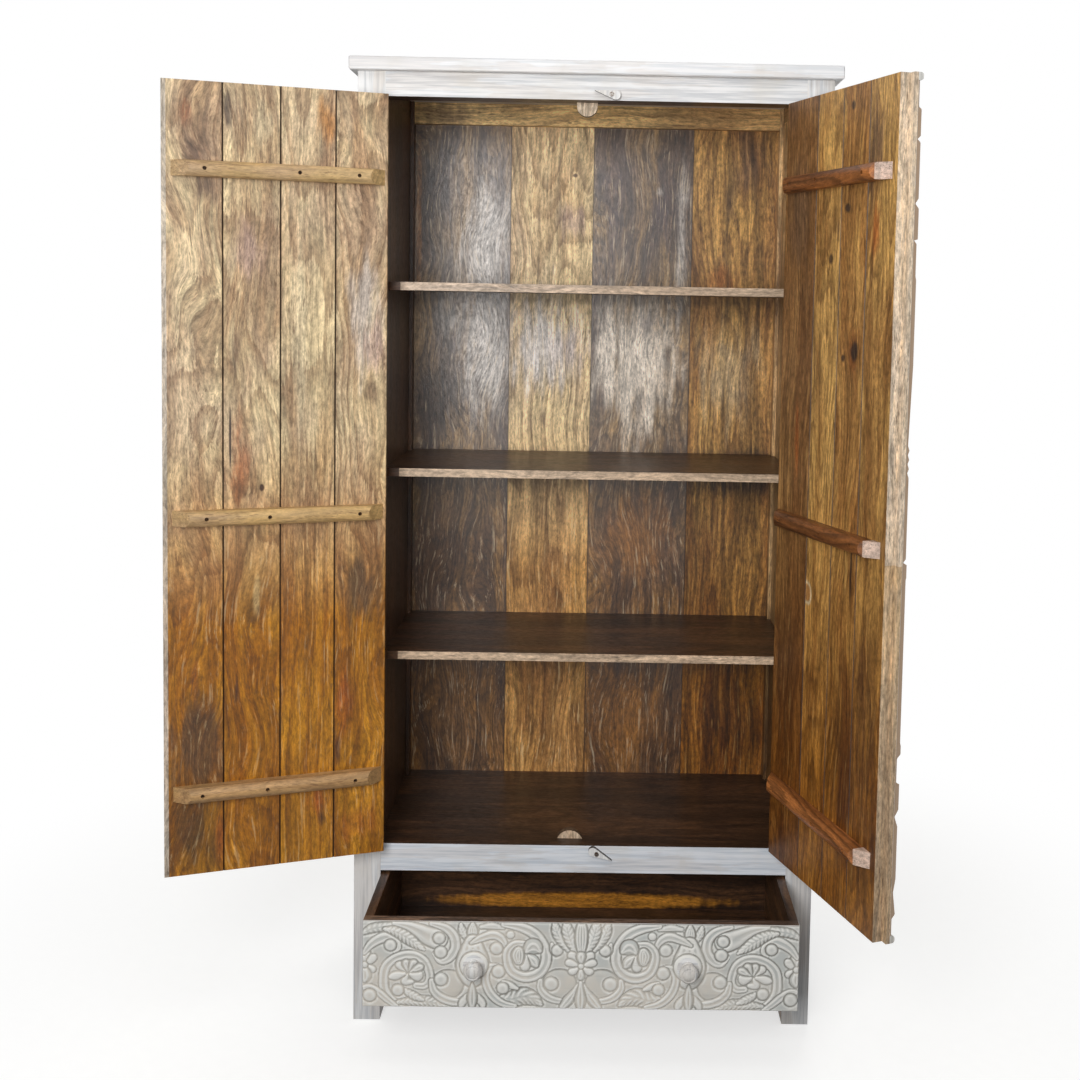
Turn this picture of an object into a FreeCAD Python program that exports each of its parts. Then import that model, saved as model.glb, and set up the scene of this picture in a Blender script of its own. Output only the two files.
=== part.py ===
import FreeCAD, Part
import math
import os
import Sketcher
from FreeCAD import Placement, Rotation, Vector

# Trastero cabinet: two plank doors over one carved drawer, standing with doors and drawer open.
# X runs along the front, Y into the cabinet, Z up, in millimetres and degrees.
# The origin is the middle of the posts' footprint, on the floor.

SIZES = {
    # Frame
    "bodyWidth": 900.0,
    "bodyDepth": 430.0,
    "postHeight": 1850.0,
    "postSize": 52.0,
    "topRailHeight": 46.0,
    "midRailTop": 358.0,
    "midRailHeight": 54.0,
    "sideRailThickness": 38.0,
    "lowRailHeight": 60.0,
    "backLowRailHeight": 80.0,
    "backRailThickness": 20.0,
    "backSetBack": 10.0,
    "tenonLength": 18.0,
    "tenonThickness": 14.0,
    "tenonShoulder": 10.0,
    # Cornice
    "corniceThickness": 25.0,
    "corniceSideOverhang": 15.0,
    "corniceFrontOverhang": 17.0,
    "corniceEase": 2.0,
    # Panels, planks and shelves
    "panelThickness": 16.0,
    "panelRecess": 7.0,
    "panelGroove": 8.0,
    "backPlankThickness": 12.0,
    "shelfThickness": 16.0,
    "shelfPitch": 366.0,
    "shelfHousing": 5.0,
    "shelfSetBack": 2.0,
    # Doors
    "doorThickness": 35.0,
    "doorCarvingDepth": 9.0,
    "doorGap": 2.5,
    "doorMeetingGap": 2.0,
    "doorLap": 12.0,
    "doorLapGap": 1.0,
    "doorBeadHeight": 13.0,
    "doorBeadRound": 5.0,
    "plankChamfer": 1.6,
    "leftDoorAngle": 161.0,
    "rightDoorAngle": 109.5,
    # Battens on the door backs
    "battenWidth": 28.0,
    "battenHeight": 26.0,
    "battenCrownDiameter": 34.0,
    "battenBevel": 30.0,
    "battenHingeInset": 6.0,
    "battenFreeInset": 16.0,
    "upperBattenInset": 155.0,
    "middleBattenDrop": 59.0,
    "lowerBattenInset": 154.0,
    "slantedBattenInset": 147.0,
    "slantedBattenAngle": 2.0,
    "battenScrewHead": 7.0,
    "battenScrewHeadHeight": 2.5,
    "battenScrewShank": 4.0,
    "battenScrewLength": 36.0,
    "battenScrewSunk": 5.0,
    # Butt hinges
    "hingeHeight": 75.0,
    "hingeLeafWidth": 20.0,
    "hingeLeafThickness": 1.4,
    "hingeLeafClearance": 0.2,
    "hingeKnuckle": 8.0,
    "hingeKnuckleGap": 0.3,
    "hingePin": 4.0,
    "hingePinClearance": 0.1,
    "hingeFaceClearance": 0.5,
    "hingeInset": 220.0,
    # Door stops
    "upperStopWidth": 40.0,
    "upperStopHeight": 26.0,
    "upperStopOffset": 18.0,
    "lowerStopWidth": 49.0,
    "lowerStopHeight": 16.0,
    "lowerStopOffset": 29.0,
    "stopGap": 0.5,
    # Turn-catches
    "catchReach": 33.0,
    "catchRound": 17.0,
    "catchRoundOffset": 8.4,
    "catchThickness": 9.0,
    "catchPlay": 0.3,
    "catchScrewShank": 4.0,
    "catchScrewHead": 8.5,
    "catchScrewHeadHeight": 2.5,
    "catchScrewLength": 32.0,
    "upperCatchOffset": 28.0,
    "upperCatchRise": 10.5,
    "upperCatchTurn": 168.0,
    "lowerCatchOffset": 25.0,
    "lowerCatchDrop": 12.0,
    "lowerCatchTurn": 25.0,
    # Drawer and its runners
    "drawerPull": 211.0,
    "drawerStopGap": 1.0,
    "drawerTopGap": 3.0,
    "drawerSideGap": 2.0,
    "drawerFrontHeight": 160.0,
    "drawerFrontThickness": 25.0,
    "drawerCarvingDepth": 7.0,
    "drawerSideThickness": 16.0,
    "drawerSideDrop": 2.0,
    "drawerSideRabbet": 10.0,
    "drawerBottomThickness": 9.0,
    "drawerBottomLift": 6.0,
    "drawerBottomGroove": 5.0,
    "runnerRise": 1.0,
    "runnerClearance": 0.3,
    "runnerWidth": 32.0,
    "runnerThickness": 16.0,
    "runnerGuideHeight": 30.0,
    "runnerStartGap": 2.0,
    # Knobs
    "knobSpacing": 388.0,
    "knobPadDiameter": 40.0,
    "knobHeadDiameter": 34.0,
    "knobBaseDiameter": 26.0,
    "knobBaseHeight": 4.0,
    "knobNeckDiameter": 17.0,
    "knobNeckHeight": 8.0,
    "knobBevel": 7.5,
    "knobLength": 29.0,
    "knobDowelDiameter": 10.0,
    "knobDowelLength": 12.0,
    # Play round everything that is pushed or screwed into a hole
    "holeClearance": 0.3,
}

# Widths of planks as shares of the width they fill, from left to right or from the hinge
backPlankShares = (0.264, 0.229, 0.274, 0.233)
leftDoorPlankShares = (0.24, 0.247, 0.253, 0.26)
rightDoorPlankShares = (0.30, 0.225, 0.22, 0.255)
# Places of the batten screws as shares of the door width, from the hinge
upperScrewShares = (0.145, 0.41, 0.82)
middleScrewShares = (0.135, 0.54, 0.815)
lowerScrewShares = (0.15, 0.55, 0.835)
# Knuckles of a hinge, which its two leaves take in turn
knuckleCount = 3
# Sides of a screw and of a batten screw's hole, of a hinge barrel and its pin, and of a turned knob
screwSides = 8
knuckleSides = 16
knobSides = 24

LEFT, RIGHT = -1, 1
ALONG_X = Vector(1, 0, 0)
ALONG_Y = Vector(0, 1, 0)
UPWARDS = Vector(0, 0, 1)

doc = FreeCAD.newDocument("TrasteroCabinet")
pieces = []


class Formula:
    # A sheet formula with its present value, which a sketch needs to start near its solution
    def __init__(self, text, value):
        self.text = text
        self.value = value

    def __add__(self, other):
        other = formula(other)
        return Formula(f"({self.text} + {other.text})", self.value + other.value)

    def __sub__(self, other):
        other = formula(other)
        return Formula(f"({self.text} - {other.text})", self.value - other.value)

    def __mul__(self, other):
        other = formula(other)
        return Formula(f"{self.text} * {other.text}", self.value * other.value)

    def __truediv__(self, other):
        other = formula(other)
        return Formula(f"{self.text} / {other.text}", self.value / other.value)

    def __neg__(self):
        return Formula(f"(0 - {self.text})", -self.value)


class SizeSheet:
    def __getattr__(self, name):
        return Formula("Sizes." + name, SIZES[name])


S = SizeSheet()


def formula(item):
    return item if isinstance(item, Formula) else Formula(f"({item})", item)


def root(item):
    return Formula(f"sqrt({item.text})", math.sqrt(item.value))


def sine(angle):
    return Formula(f"sin({angle.text})", math.sin(math.radians(angle.value)))


def cosine(angle):
    return Formula(f"cos({angle.text})", math.cos(math.radians(angle.value)))


def fillSheet():
    sheet = doc.addObject("Spreadsheet::Sheet", "Sizes")
    for row, (name, value) in enumerate(SIZES.items(), start=1):
        sheet.set(f"A{row}", name)
        sheet.set(f"B{row}", str(value))
        sheet.setAlias(f"B{row}", name)
    doc.recompute()


# Levels and faces that several pieces share

front = -S.bodyDepth / 2
back = S.bodyDepth / 2
postInner = S.bodyWidth / 2 - S.postSize
panelInner = postInner + S.panelRecess
backFace = back - S.backSetBack - S.backPlankThickness
topRailUnder = S.postHeight - S.topRailHeight
drawerTop = S.midRailTop - S.midRailHeight - S.drawerTopGap
drawerBottom = drawerTop - S.drawerFrontHeight
lowRailUnder = drawerBottom - S.lowRailHeight
runnerTop = drawerBottom + S.runnerRise
doorBottom = S.midRailTop + S.doorGap
doorTop = topRailUnder - S.doorGap
shelfFront = front + S.doorThickness + S.battenHeight + S.shelfSetBack
hingeGap = S.hingeLeafThickness * 2 + S.hingeLeafClearance
pinOut = S.hingeKnuckle / 2 + S.hingeFaceClearance
pinSide = postInner - hingeGap / 2


# Drawing helpers

def bind(item, values):
    for name, value in values.items():
        item.setExpression(name, formula(value).text)


def moveTo(item, place):
    bind(item, {"Placement.Base." + axis: value for axis, value in zip("xyz", place)})


def box(corner, size):
    item = doc.addObject("Part::Box", "Box")
    bind(item, dict(zip(("Length", "Width", "Height"), size)))
    moveTo(item, corner)
    return item


def rod(start, direction, diameter, length):
    item = doc.addObject("Part::Cylinder", "Rod")
    item.Placement = Placement(Vector(), Rotation(UPWARDS, direction))
    bind(item, {"Radius": diameter / 2, "Height": length})
    moveTo(item, start)
    return item


def spike(start, direction, width, length, sides=screwSides):
    item = doc.addObject("Part::Prism", "Spike")
    item.Polygon = sides
    item.Placement = Placement(Vector(), Rotation(UPWARDS, direction))
    bind(item, {"Circumradius": width / 2, "Height": length})
    moveTo(item, start)
    return item


def turnedHead(start, direction, width, length, bevelled, sides):
    # A many-sided disc with both rims bevelled
    body = doc.addObject("PartDesign::Body", "TurnedHead")
    disc = body.newObject("PartDesign::AdditivePrism", "Disc")
    disc.Polygon = sides
    bind(disc, {"Circumradius": width / 2, "Height": length})
    doc.recompute()
    rims = [f"Edge{number}" for number, edge in enumerate(disc.Shape.Edges, start=1)
            if math.isclose(edge.Vertexes[0].Z, edge.Vertexes[-1].Z, abs_tol=1e-6)]
    bevel = body.newObject("PartDesign::Chamfer", "Bevel")
    bevel.Base = (disc, rims)
    bind(bevel, {"Size": bevelled})
    body.Placement = Placement(Vector(), Rotation(UPWARDS, direction))
    moveTo(body, start)
    return body


def fuse(items):
    if len(items) == 1:
        return items[0]
    item = doc.addObject("Part::MultiFuse", "Fusion")
    item.Shapes = items
    item.Refine = True
    return item


def cut(base, tools):
    item = doc.addObject("Part::Cut", "Cut")
    item.Base = base
    item.Tool = fuse(tools)
    return item


def common(base, tool):
    item = doc.addObject("Part::Common", "Common")
    item.Base = base
    item.Tool = tool
    return item


def group(items):
    item = doc.addObject("Part::Compound", "Group")
    item.Links = items
    return item


def piece(label, item):
    item.Label = label
    pieces.append(item)
    return item


def sideName(side):
    return "left" if side == LEFT else "right"


def spanX(side, inner, width):
    return inner if side == RIGHT else -(inner + width)


# Sketch helpers: an outline runs anticlockwise, as (across, up) corners.
# A third value is the radius of the arc that arrives at that corner, bulging outwards.

def newBody(name):
    return doc.addObject("PartDesign::Body", name)


def arcBetween(start, end, radius):
    chord = end - start
    outward = Vector(chord.y, -chord.x, 0).normalize()
    rise = radius - math.sqrt(max(radius * radius - chord.Length * chord.Length / 4, 0))
    return Part.Arc(start, (start + end) / 2 + outward * rise, end)


def fixPoint(sketch, geometry, end, place):
    for kind, value in zip(("DistanceX", "DistanceY"), place):
        line = sketch.addConstraint(Sketcher.Constraint(kind, -1, 1, geometry, end, value.value))
        sketch.setExpression(f"Constraints[{line}]", value.text)


def drawOutline(sketch, corners):
    count = len(corners)
    points = [Vector(corner[0].value, corner[1].value, 0) for corner in corners]
    for index in range(count):
        after = (index + 1) % count
        bend = corners[after][2:]
        if bend:
            sketch.addGeometry(arcBetween(points[index], points[after], bend[0].value))
        else:
            sketch.addGeometry(Part.LineSegment(points[index], points[after]))
    for index, corner in enumerate(corners):
        before = (index - 1) % count
        sketch.addConstraint(Sketcher.Constraint("Coincident", before, 2, index, 1))
        fixPoint(sketch, index, 1, corner[:2])
        if corner[2:]:
            line = sketch.addConstraint(Sketcher.Constraint("Radius", before, corner[2].value))
            sketch.setExpression(f"Constraints[{line}]", corner[2].text)


def drawHole(sketch, centre, diameter):
    middle = Vector(centre[0].value, centre[1].value, 0)
    ring = sketch.addGeometry(Part.Circle(middle, UPWARDS, diameter.value / 2))
    fixPoint(sketch, ring, 3, centre)
    line = sketch.addConstraint(Sketcher.Constraint("Diameter", ring, diameter.value))
    sketch.setExpression(f"Constraints[{line}]", diameter.text)


def newSketch(owner, role, corners, offset=0):
    sketch = owner.newObject("Sketcher::SketchObject", "Outline")
    plane = [item for item in owner.Origin.OriginFeatures if item.Role == role]
    sketch.AttachmentSupport = [(plane[0], "")]
    sketch.MapMode = "FlatFace"
    bind(sketch, {"AttachmentOffset.Base.z": offset})
    drawOutline(sketch, corners)
    return sketch


def pad(owner, sketch, length):
    item = owner.newObject("PartDesign::Pad", "Pad")
    item.Profile = sketch
    bind(item, {"Length": length})
    return item


# Raw boards, which also serve as cutters where another piece takes them in

def postBlock(side, y):
    return box((spanX(side, postInner, S.postSize), y, formula(0)), (S.postSize, S.postSize, S.postHeight))


def crossRail(y, z, depth, height):
    width = postInner * 2
    board = box((-postInner, y, z), (width, depth, height))
    tongue = box(
        (-(postInner + S.tenonLength), y + (depth - S.tenonThickness) / 2, z + S.tenonShoulder),
        (width + S.tenonLength * 2, S.tenonThickness, height - S.tenonShoulder * 2),
    )
    return board, tongue


def sideRail(side, z, height):
    start = front + S.postSize
    length = S.bodyDepth - S.postSize * 2
    edge = (S.postSize - S.sideRailThickness) / 2
    inner = postInner + edge
    board = box((spanX(side, inner, S.sideRailThickness), start, z), (S.sideRailThickness, length, height))
    tongueInner = postInner + (S.postSize - S.tenonThickness) / 2
    tongue = box(
        (spanX(side, tongueInner, S.tenonThickness), start - S.tenonLength, z + S.tenonShoulder),
        (S.tenonThickness, length + S.tenonLength * 2, height - S.tenonShoulder * 2),
    )
    return board, tongue


def panelBlock(side):
    start = front + S.postSize - S.panelGroove
    length = S.bodyDepth - S.postSize * 2 + S.panelGroove * 2
    foot = drawerBottom - S.panelGroove
    return box(
        (spanX(side, panelInner, S.panelThickness), start, foot),
        (S.panelThickness, length, topRailUnder + S.panelGroove - foot),
    )


def shelfBlock(top, start):
    reach = panelInner + S.shelfHousing
    return box((-reach, start, top - S.shelfThickness), (reach * 2, backFace - start, S.shelfThickness))


# Frame, panels, shelves and back

def makeFrame():
    posts = {(side, end): postBlock(side, y) for side in (LEFT, RIGHT)
             for end, y in (("front", front), ("back", back - S.postSize))}
    rails = {
        "top_rail": crossRail(front, topRailUnder, S.postSize, S.topRailHeight),
        "mid_rail": crossRail(front, S.midRailTop - S.midRailHeight, S.postSize, S.midRailHeight),
    }
    backStart = backFace - S.backRailThickness
    backRails = {
        "back_top_rail": crossRail(backStart, topRailUnder, S.backRailThickness, S.topRailHeight),
        "back_low_rail": crossRail(backStart, lowRailUnder, S.backRailThickness, S.backLowRailHeight),
    }
    shelves = {
        "cabinet_floor": shelfBlock(S.midRailTop, front + S.postSize),
        "lower_shelf": shelfBlock(S.midRailTop + S.shelfPitch, shelfFront),
        "middle_shelf": shelfBlock(S.midRailTop + S.shelfPitch * 2, shelfFront),
        "upper_shelf": shelfBlock(S.midRailTop + S.shelfPitch * 3, shelfFront),
    }
    screws = {"top_rail": upperCatchHole(), "mid_rail": lowerCatchHole()}
    for name, (board, tongue) in rails.items():
        piece(name, cut(fuse([board, tongue]), [screws[name]]))
    for name, (board, tongue) in backRails.items():
        piece(name, fuse([board, tongue]))
    tongues = {
        "front": [tongue for board, tongue in rails.values()],
        "back": [tongue for board, tongue in backRails.values()],
    }
    for side in (LEFT, RIGHT):
        makeSide(side, posts, tongues, shelves)
    for name, board in shelves.items():
        piece(name, cut(board, [posts[LEFT, "back"], posts[RIGHT, "back"]]))
    makeStops(rails["top_rail"][0], rails["mid_rail"][0])


def makeSide(side, posts, tongues, shelves):
    name = sideName(side)
    panel = panelBlock(side)
    sideRails = {
        "side_top_rail": sideRail(side, topRailUnder, S.topRailHeight),
        "side_low_rail": sideRail(side, lowRailUnder, S.lowRailHeight),
    }
    for label, (board, tongue) in sideRails.items():
        piece(f"{name}_{label}", cut(fuse([board, tongue]), [panel]))
    sideTongues = [rail[1] for rail in sideRails.values()]
    for end in ("front", "back"):
        piece(f"{end}_{name}_post", cut(posts[side, end], tongues[end] + sideTongues + [panel]))
    piece(f"{name}_side_panel", cut(panel, list(shelves.values())))


def makeBackPlanks():
    start = -postInner
    for number, share in enumerate(backPlankShares, start=1):
        width = postInner * 2 * share
        size = (width, S.backPlankThickness, S.postHeight - lowRailUnder)
        piece(f"back_plank_{number}", box((start, backFace, lowRailUnder), size))
        start = start + width


def makeCornice():
    board = newBody("Cornice")
    half = S.bodyWidth / 2 + S.corniceSideOverhang
    edge = front - S.corniceFrontOverhang
    corners = ((-half, edge), (half, edge), (half, back), (-half, back))
    slab = pad(board, newSketch(board, "XY_Plane", corners, S.postHeight), S.corniceThickness)
    doc.recompute()
    eased = board.newObject("PartDesign::Chamfer", "EasedEdges")
    eased.Base = (slab, [""])
    eased.UseAllEdges = True
    bind(eased, {"Size": S.corniceEase})
    piece("cornice_board", board)


def makeStops(topRail, midRail):
    start = front + S.doorThickness + S.stopGap
    depth = S.postSize - S.doorThickness - S.stopGap
    middle = -S.upperStopOffset
    level = topRailUnder - S.upperStopHeight + S.upperStopWidth / 2
    cheekSize = (S.upperStopWidth, depth, topRailUnder - level)
    cheek = box((middle - S.upperStopWidth / 2, start, level), cheekSize)
    disc = rod((middle, start, level), ALONG_Y, S.upperStopWidth, depth)
    piece("upper_door_stop", cut(fuse([cheek, disc]), [topRail]))
    diameter = S.lowerStopWidth * S.lowerStopWidth / 4 / S.lowerStopHeight + S.lowerStopHeight
    level = S.midRailTop + S.lowerStopHeight - diameter / 2
    arch = rod((-S.lowerStopOffset, start, level), ALONG_Y, diameter, depth)
    piece("lower_door_stop", cut(arch, [midRail]))


def makeRunners():
    start = front + S.drawerFrontThickness + S.runnerStartGap
    end = backFace - S.backRailThickness
    foot = runnerTop - S.runnerThickness
    for side in (LEFT, RIGHT):
        ledge = box(
            (spanX(side, postInner - S.runnerWidth, S.runnerWidth), start, foot),
            (S.runnerWidth, end - start, S.runnerThickness),
        )
        guide = box(
            (spanX(side, postInner, S.panelRecess), front + S.postSize, foot),
            (S.panelRecess, S.bodyDepth - S.postSize * 2, S.runnerThickness + S.runnerGuideHeight),
        )
        piece(f"{sideName(side)}_drawer_runner", fuse([ledge, guide]))


# Turn-catches and their screws

def upperCatchPlace():
    return S.upperCatchOffset, topRailUnder + S.upperCatchRise


def lowerCatchPlace():
    return S.lowerCatchOffset, S.midRailTop - S.lowerCatchDrop


def screwTip():
    return front - S.catchThickness - S.catchPlay * 2 + S.catchScrewLength


def catchHole(x, z):
    return rod((x, front, z), ALONG_Y, S.catchScrewShank + S.holeClearance * 2, screwTip() - front)


def upperCatchHole():
    return catchHole(*upperCatchPlace())


def lowerCatchHole():
    return catchHole(*lowerCatchPlace())


def makeCatch(label, place, turn, axis):
    button = newBody("Catch")
    radius = S.catchRound / 2
    centre = -S.catchRoundOffset
    slope = radius / (S.catchReach + S.catchRoundOffset)
    across = centre + radius * slope
    rise = radius * root(formula(1) - slope * slope)
    corners = (
        (S.catchReach, formula(0)),
        (across, rise),
        (centre - radius, formula(0), radius),
        (across, -rise, radius),
    )
    sketch = newSketch(button, "XZ_Plane", corners)
    drawHole(sketch, (formula(0), formula(0)), S.catchScrewShank + S.hingePinClearance * 2)
    pad(button, sketch, S.catchThickness)
    button.Placement = Placement(Vector(), Rotation(axis, turn.value))
    moveTo(button, (place[0], front - S.catchPlay, place[1]))
    bind(button, {"Placement.Rotation.Angle": turn})
    piece(label, button)


def makeCatchScrew(label, place):
    x, z = place
    head = front - S.catchThickness - S.catchPlay * 2
    crown = head - S.catchScrewHeadHeight
    cap = spike((x, crown, z), ALONG_Y, S.catchScrewHead, S.catchScrewHeadHeight, knuckleSides)
    shank = spike((x, head, z), ALONG_Y, S.catchScrewShank, S.catchScrewLength)
    piece(label, fuse([cap, shank]))


def makeCatches():
    makeCatch("upper_catch", upperCatchPlace(), S.upperCatchTurn, -ALONG_Y)
    makeCatch("lower_catch", lowerCatchPlace(), S.lowerCatchTurn, ALONG_Y)
    makeCatchScrew("upper_catch_screw", upperCatchPlace())
    makeCatchScrew("lower_catch_screw", lowerCatchPlace())


# Doors, each drawn closed with its hinge pin at the origin, then turned open.
# A place along the door counts from the pin, and depth counts inwards from the pin.

carvedFace = pinOut
doorInner = pinOut + S.doorThickness
doorHingeEdge = hingeGap / 2
innerMeeting = {
    LEFT: pinSide + (S.doorLap - S.doorMeetingGap) / 2,
    RIGHT: pinSide - (S.doorLap + S.doorMeetingGap) / 2,
}
outerMeeting = {LEFT: innerMeeting[RIGHT], RIGHT: innerMeeting[LEFT]}
doorAngle = {LEFT: S.leftDoorAngle, RIGHT: S.rightDoorAngle}
plankShares = {LEFT: leftDoorPlankShares, RIGHT: rightDoorPlankShares}
doorMiddle = (doorTop + doorBottom) / 2
hingeHeights = (doorTop - S.hingeInset, doorMiddle, doorBottom + S.hingeInset)


def hang(item, side):
    axis = UPWARDS if side == RIGHT else -UPWARDS
    item.Placement = Placement(Vector(), Rotation(axis, doorAngle[side].value))
    moveTo(item, (pinSide * side, front - pinOut, formula(0)))
    bind(item, {"Placement.Rotation.Angle": doorAngle[side]})
    return item


def alongDoor(side, low, high):
    return (low, high) if side == LEFT else (-high, -low)


def plankSection(side, low, high, last):
    left, right = alongDoor(side, low, high)
    ground = carvedFace + S.doorCarvingDepth
    bevel = S.plankChamfer
    if not last:
        return ((left, ground), (right, ground), (right, doorInner - bevel), (right - bevel, doorInner),
                (left + bevel, doorInner), (left, doorInner - bevel))
    half = (carvedFace + doorInner) / 2
    if side == LEFT:
        step = half + S.doorLapGap / 2
        outer = outerMeeting[LEFT]
        return ((left, ground), (outer, ground), (outer, step), (right, step), (right, doorInner),
                (left + bevel, doorInner), (left, doorInner - bevel))
    step = half - S.doorLapGap / 2
    inner = -innerMeeting[RIGHT]
    return ((left, ground), (right, ground), (right, doorInner - bevel), (right - bevel, doorInner),
            (inner, doorInner), (inner, step), (left, step))


def beadSection(low):
    bend = S.doorBeadRound
    high = low + S.doorBeadHeight
    ground = carvedFace + S.doorCarvingDepth
    return ((ground, low), (ground, high), (carvedFace + bend, high), (carvedFace, high - bend, bend),
            (carvedFace, low + bend), (carvedFace + bend, low, bend))


def makePlank(side, number, low, high, holes):
    last = number == len(plankShares[side])
    board = newBody("Plank")
    section = newSketch(board, "XY_Plane", plankSection(side, low, high, last), doorBottom)
    pad(board, section, doorTop - doorBottom)
    left, right = alongDoor(side, low, outerMeeting[side] if last else high)
    for level in (doorBottom, doorTop - S.doorBeadHeight):
        pad(board, newSketch(board, "YZ_Plane", beadSection(level), left), right - left)
    piece(f"{sideName(side)}_door_plank_{number}", hang(cut(board, holes), side))


def battenRun(side):
    return doorHingeEdge + S.battenHingeInset, innerMeeting[side] - S.battenFreeInset


def battenRows(side):
    # The lower batten of the right door falls away from its hinge end
    inset, slant = S.lowerBattenInset, None
    if side == RIGHT:
        inset, slant = S.slantedBattenInset, S.slantedBattenAngle
    return (
        ("upper", doorTop - S.upperBattenInset, None, upperScrewShares),
        ("middle", doorMiddle - S.middleBattenDrop, None, middleScrewShares),
        ("lower", doorBottom + inset, slant, lowerScrewShares),
    )


def battenBlank(side, level, slant):
    start, end = battenRun(side)
    left, right = alongDoor(side, start, end)
    bar = doc.addObject("Part::Wedge", "BevelledBar")
    bind(bar, {
        "Xmin": 0, "Xmax": right - left, "X2min": S.battenBevel, "X2max": right - left - S.battenBevel,
        "Ymin": 0, "Ymax": S.battenHeight, "Zmin": 0, "Zmax": S.battenWidth,
        "Z2min": 0, "Z2max": S.battenWidth,
    })
    moveTo(bar, (left, doorInner, -S.battenWidth / 2))
    crown = doorInner + S.battenHeight - S.battenCrownDiameter / 2
    blank = common(bar, rod((left, crown, formula(0)), ALONG_X, S.battenCrownDiameter, right - left))
    if slant:
        blank.Placement = Placement(Vector(), Rotation(ALONG_Y * -side, slant.value))
        bind(blank, {"Placement.Rotation.Angle": slant})
    moveTo(blank, (formula(0), formula(0), level))
    return blank


def battenScrewSeat(side, level, slant, share):
    along = innerMeeting[side] * share
    if slant:
        level = level - along * sine(slant) / cosine(slant)
    return along * -side, doorInner + S.battenHeight - S.battenScrewSunk, level


def battenScrew(seat, play):
    head = spike(seat, -ALONG_Y, S.battenScrewHead + play * 2, S.battenScrewHeadHeight)
    shank = spike(seat, -ALONG_Y, S.battenScrewShank + play * 2, S.battenScrewLength)
    return [head, shank]


def makeBattens(side):
    name = sideName(side)
    screws, holes = [], []
    for row, level, slant, shares in battenRows(side):
        rooms = []
        for share in shares:
            seat = battenScrewSeat(side, level, slant, share)
            screws.append(fuse(battenScrew(seat, formula(0))))
            room = battenScrew(seat, S.holeClearance)
            mouth = spike(seat, ALONG_Y, S.battenScrewHead + S.holeClearance * 2, S.battenScrewSunk)
            rooms += room + [mouth]
            holes.append(room[1])
        piece(f"{name}_door_{row}_batten", hang(cut(battenBlank(side, level, slant), rooms), side))
    piece(f"{name}_door_batten_screws", hang(group(screws), side))
    return holes


# Butt hinges: three knuckles on the frame leaf, two on the door leaf, all round one pin

def knuckles(middle, turns):
    step = S.hingeHeight / knuckleCount
    rings = []
    for turn in turns:
        low = middle - S.hingeHeight / 2 + step * turn + S.hingeKnuckleGap / 2
        rings.append((low, step - S.hingeKnuckleGap))
    return rings


def hingeLeaf(side, middle, turns, inward):
    # The leaf lies against the post where inward is -1 and against the door edge where it is 1
    thick = S.hingeLeafThickness
    near = S.hingeLeafClearance / 2
    low, high = (near, near + thick) if inward == 1 else (-(near + thick), -near)
    left, right = alongDoor(side, low, high)
    clear = S.hingeKnuckle / 2 + S.hingeKnuckleGap
    plate = box((left, clear, middle - S.hingeHeight / 2), (thick, S.hingeLeafWidth, S.hingeHeight))
    solids = [plate]
    for start, height in knuckles(middle, turns):
        solids.append(box((left, formula(0), start), (thick, clear, height)))
        solids.append(spike((formula(0), formula(0), start), UPWARDS, S.hingeKnuckle, height, knuckleSides))
    bore = spike((formula(0), formula(0), middle - S.hingeHeight / 2), UPWARDS,
                 S.hingePin + S.hingePinClearance * 2, S.hingeHeight, knuckleSides)
    return cut(fuse(solids), [bore])


def atPin(item, side):
    moveTo(item, (pinSide * side, front - pinOut, formula(0)))
    return item


def makeHinges():
    frameLeaves, pins = [], []
    frameTurns, doorTurns = range(0, knuckleCount, 2), range(1, knuckleCount, 2)
    for side in (LEFT, RIGHT):
        frameLeaves += [atPin(hingeLeaf(side, middle, frameTurns, -1), side) for middle in hingeHeights]
        doorLeaves = [hingeLeaf(side, middle, doorTurns, 1) for middle in hingeHeights]
        piece(f"{sideName(side)}_door_hinge_leaves", hang(group(doorLeaves), side))
        for middle in hingeHeights:
            foot = (pinSide * side, front - pinOut, middle - S.hingeHeight / 2)
            pins.append(spike(foot, UPWARDS, S.hingePin, S.hingeHeight, knuckleSides))
    piece("hinge_frame_leaves", group(frameLeaves))
    piece("hinge_pins", group(pins))


def makeDoor(side):
    holes = makeBattens(side)
    low = doorHingeEdge
    width = innerMeeting[side] if side == LEFT else outerMeeting[side]
    for number, share in enumerate(plankShares[side], start=1):
        high = low + (width - doorHingeEdge) * share
        makePlank(side, number, low, high, holes)
        low = high


# Drawer, drawn from the plane of its carved face

def knobPlaces():
    return {side: (S.knobSpacing / 2 * side, (drawerTop + drawerBottom) / 2) for side in (LEFT, RIGHT)}


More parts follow.
